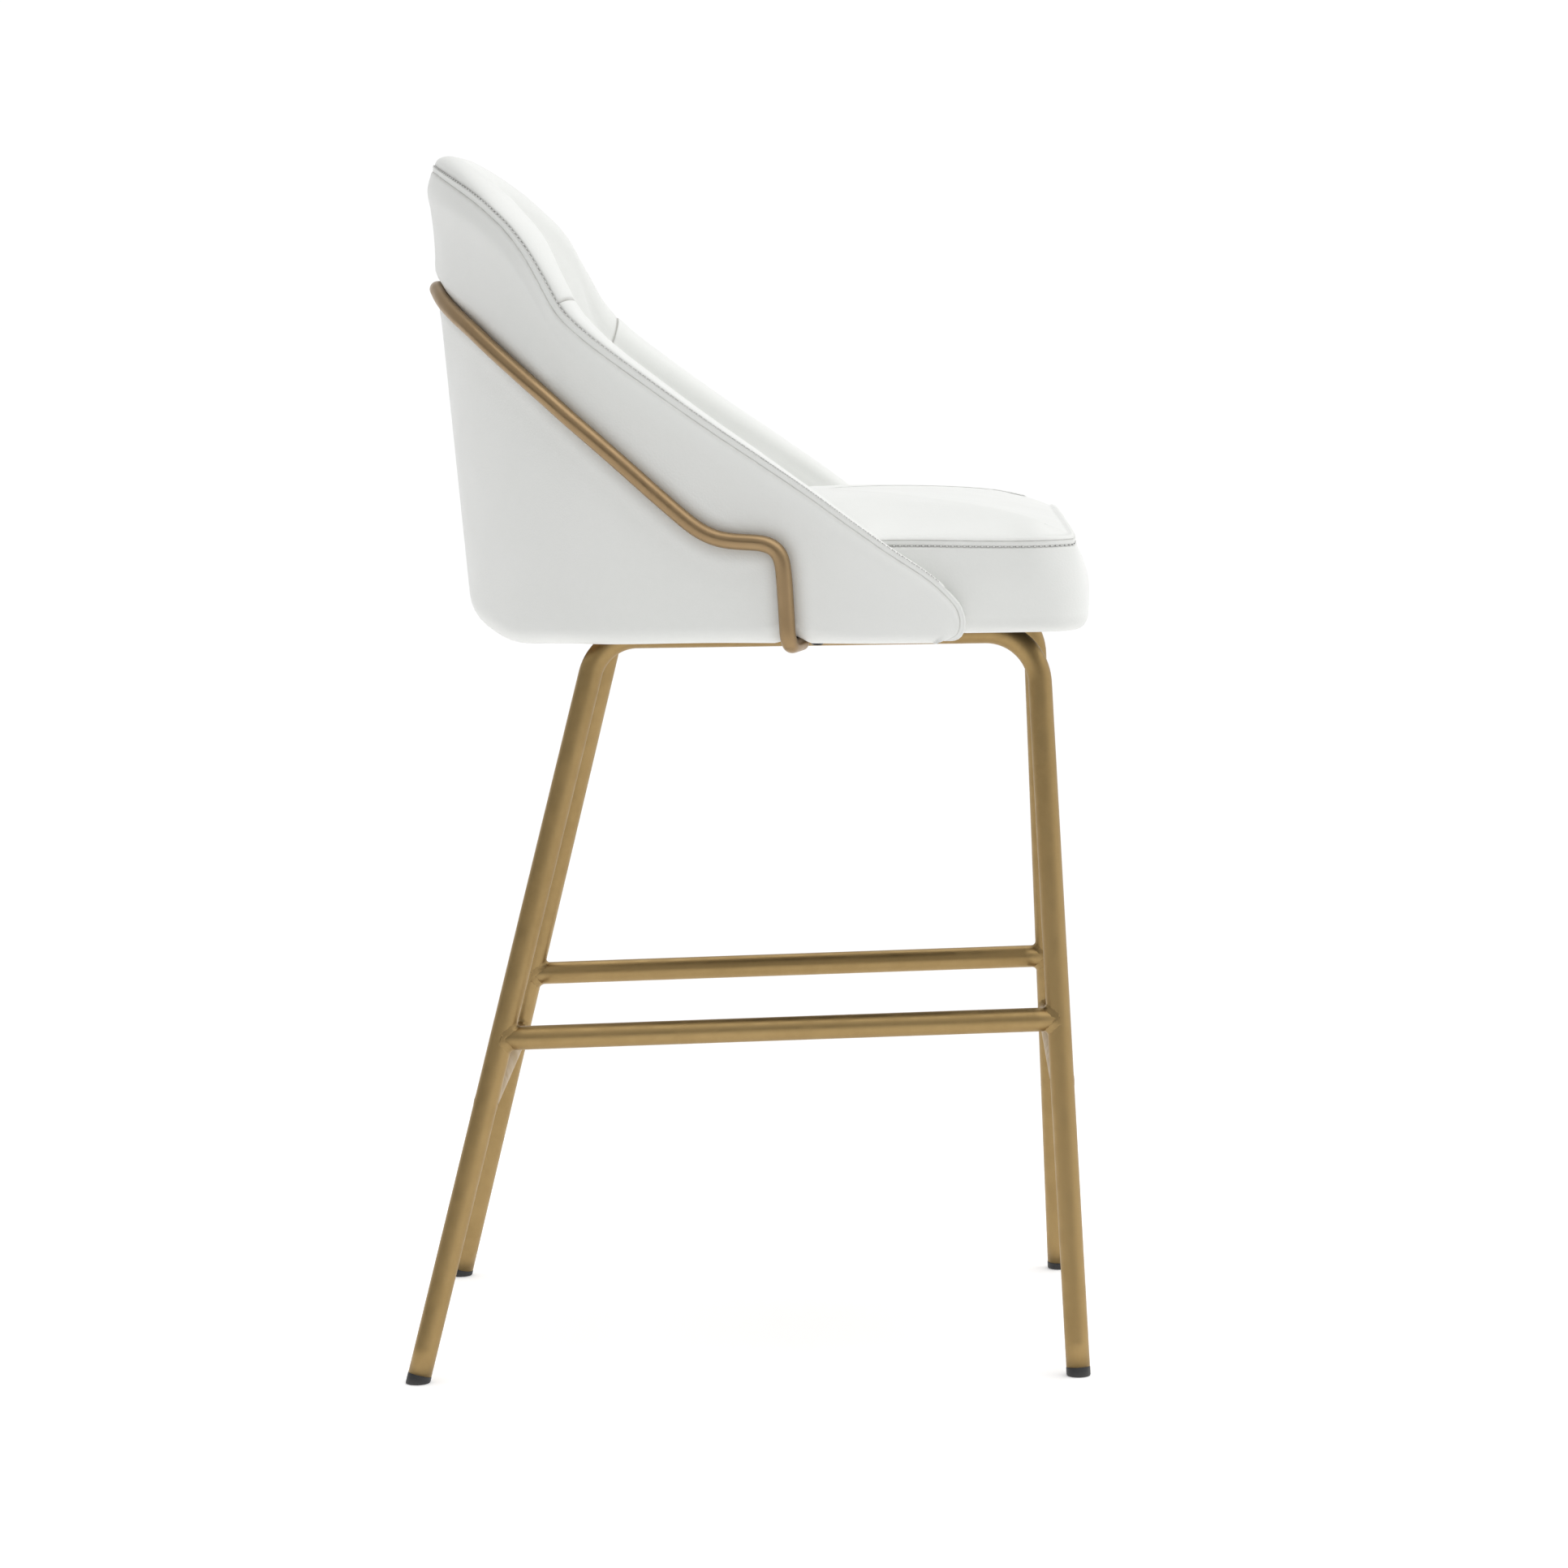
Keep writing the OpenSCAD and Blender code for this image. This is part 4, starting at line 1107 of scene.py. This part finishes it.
def metal_frame():
    rail_z, bar_z, seed = (267.8, 258.4), (221.0, 210.0), 1
    for side, word in ((-1, "left"), (1, "right")):
        side_tube(side, word + "_frame_tube", word + "_side_frame")
        a, b = leg_point(side, False, rail_z[False]), leg_point(side, True, rail_z[True])
        straight_bar(word + "_side_rail", a, b, word + "_foot_rail")
        for rear, at, away in ((False, a, b - a), (True, b, a - b)):
            end = "rear" if rear else "front"
            weld(f"weld_{word}_rail_{end}", at, away, at, leg_axis(side, rear), seed)
            foot_cap(f"{end}_{word}_foot_cap", side, rear, f"{end}_{word}_cap")
            seed += 1
    for rear, word in ((False, "front"), (True, "rear")):
        a, b = leg_point(-1, rear, bar_z[rear]), leg_point(1, rear, bar_z[rear])
        straight_bar(word + "_foot_bar", a, b, word + "_crossbar")
        for side, at, away, hand in ((-1, a, b - a, "left"), (1, b, a - b, "right")):
            weld(f"weld_{word}_bar_{hand}", at, away, at, leg_axis(side, rear), seed)
            seed += 1


def wrap_rod():
    pts = shell(ROD_LINE[:, 0], rod_depth(ROD_LINE[:, 0]), ROD_LINE[:, 1])[:-1]
    a = np.radians(np.arange(0, 91, 6))
    hook = shell(ROD_L, rod_depth(ROD_L) + HOOK_R - HOOK_R * np.cos(a),
                 HOOK_Z + HOOK_R - HOOK_R * np.sin(a))
    tail = shell(ROD_L, np.array([8, 14, 20, 27, 35.0]), HOOK_Z)
    right = np.vstack([pts, hook, tail])
    path = soften(resample(both_halves(right), 2.2), 1.6)
    path, radius = round_ends(path, ROD_R)
    verts, faces = sweep(path, radius, 28)
    # Darker towards the low end of each side, where the rod hooks in under the shell.
    shade_and_wear = np.repeat(0.4 * ease(-path[:, 2], -600, -556), 28)
    make_piece("back_wrap_rod", verts, faces, ROD_METAL, ["wrap_rod"], shade_and_wear)


# ---- Build

outer_cover()
bent_ply()
rim_welt()
rim_stitching()
pads()
seat_cushion()
seat_band()
dust_cover()
metal_frame()
wrap_rod()


# ---- Stage, light and camera

def stage():
    me = bpy.data.meshes.new("floor")
    ring = [(FLOOR_R * math.cos(a), FLOOR_R * math.sin(a), 0) for a in turn_by(64)]
    me.from_pydata(ring, [], [tuple(range(64))])
    floor = add_object("floor", me)
    mat = bpy.data.materials.new("pale_floor")
    mat.use_nodes = True
    bsdf = mat.node_tree.nodes["Principled BSDF"]
    put(bsdf, {"Base Color": (0.95, 0.95, 0.95, 1), "Emission Color": (1, 1, 1, 1),
               "Roughness": 0.9, "Specular IOR Level": 0.0})
    nt = mat.node_tree
    co, far = nt.nodes.new("ShaderNodeTexCoord"), nt.nodes.new("ShaderNodeVectorMath")
    far.operation = "LENGTH"
    nt.links.new(co.outputs["Object"], far.inputs[0])
    glow = map_range(nt, far.outputs["Value"], GLOW_FROM, GLOW_TO, GLOW, 0.0)
    nt.links.new(glow, bsdf.inputs["Emission Strength"])
    me.materials.append(mat)


def world():
    """Surroundings: bright towards +X and -Y, dim towards -X and +Y, grey overhead."""
    w = bpy.data.worlds.new("studio")
    bpy.context.scene.world = w
    w.use_nodes = True
    nt = w.node_tree
    nt.nodes.clear()
    new, link = nt.nodes.new, nt.links.new
    out, bg = new("ShaderNodeOutputWorld"), new("ShaderNodeBackground")
    co, sep = new("ShaderNodeTexCoord"), new("ShaderNodeSeparateXYZ")
    bg.inputs["Color"].default_value = (1, 1, 1, 1)
    link(co.outputs["Generated"], sep.inputs[0])

    # Towards the bright side: 0.8 of X less 0.6 of Y
    across, along, side = new("ShaderNodeMath"), new("ShaderNodeMath"), new("ShaderNodeMath")
    across.operation = along.operation = "MULTIPLY"
    link(sep.outputs[0], across.inputs[0])
    link(sep.outputs[1], along.inputs[0])
    across.inputs[1].default_value, along.inputs[1].default_value = 0.8, -0.6
    link(across.outputs[0], side.inputs[0])
    link(along.outputs[0], side.inputs[1])
    horizon = map_range(nt, side.outputs[0], -0.75, 0.55, NEAR_SIDE, FAR_SIDE)
    link(map_range(nt, sep.outputs[2], 0.14, 0.42, horizon, SKY), bg.inputs["Strength"])
    link(bg.outputs[0], out.inputs[0])


def sun(name, energy, place, angle):
    """Soft light from place towards the origin."""
    data = bpy.data.lights.new(name, "SUN")
    data.energy, data.angle = energy, angle
    ob = add_object(name, data)
    ob.location = place
    ob.rotation_euler = Vector([-v for v in place]).to_track_quat("-Z", "Y").to_euler()


# Strength of the surroundings overhead, and at the horizon on the dim side and the bright side
SKY, NEAR_SIDE, FAR_SIDE = 0.60, 0.12, 1.03
# Glow of the floor close to the stool, and the distances in metres between which it fades out
GLOW, GLOW_FROM, GLOW_TO = 0.27, 0.35, 1.5
FLOOR_R = 60.0
stage()
world()
sun("top_light", 1.65, (0.3, -1.6, 4), math.radians(90))


# Width of the frame in pixels, focal length in those pixels, place in metres, turns in radians
WIDE, FOCAL = 1932, 5914.57
CAMERA_AT = (-3.75, -0.10045, 0.84807)
TURNS = -0.0195998, 0.1107348, -0.0162502


def camera():
    yaw, pitch, roll = TURNS
    ahead = np.array([math.cos(yaw) * math.cos(pitch), -math.sin(yaw) * math.cos(pitch),
                      -math.sin(pitch)])
    level = np.array([-math.sin(yaw), -math.cos(yaw), 0.0])
    above = np.cross(level, ahead)
    right = math.cos(roll) * level + math.sin(roll) * above
    up = -math.sin(roll) * level + math.cos(roll) * above
    cam = bpy.data.cameras.new("camera")
    cam.sensor_width, cam.lens = 36, FOCAL / WIDE * 36
    cam.clip_start, cam.clip_end = 0.1, 200
    ob = add_object("camera", cam)
    m = Matrix.Identity(4)
    for row in range(3):
        m[row][:] = right[row], up[row], -ahead[row], CAMERA_AT[row]
    ob.matrix_world = m
    bpy.context.scene.camera = ob


camera()
bpy.context.scene.view_settings.view_transform = "Standard"
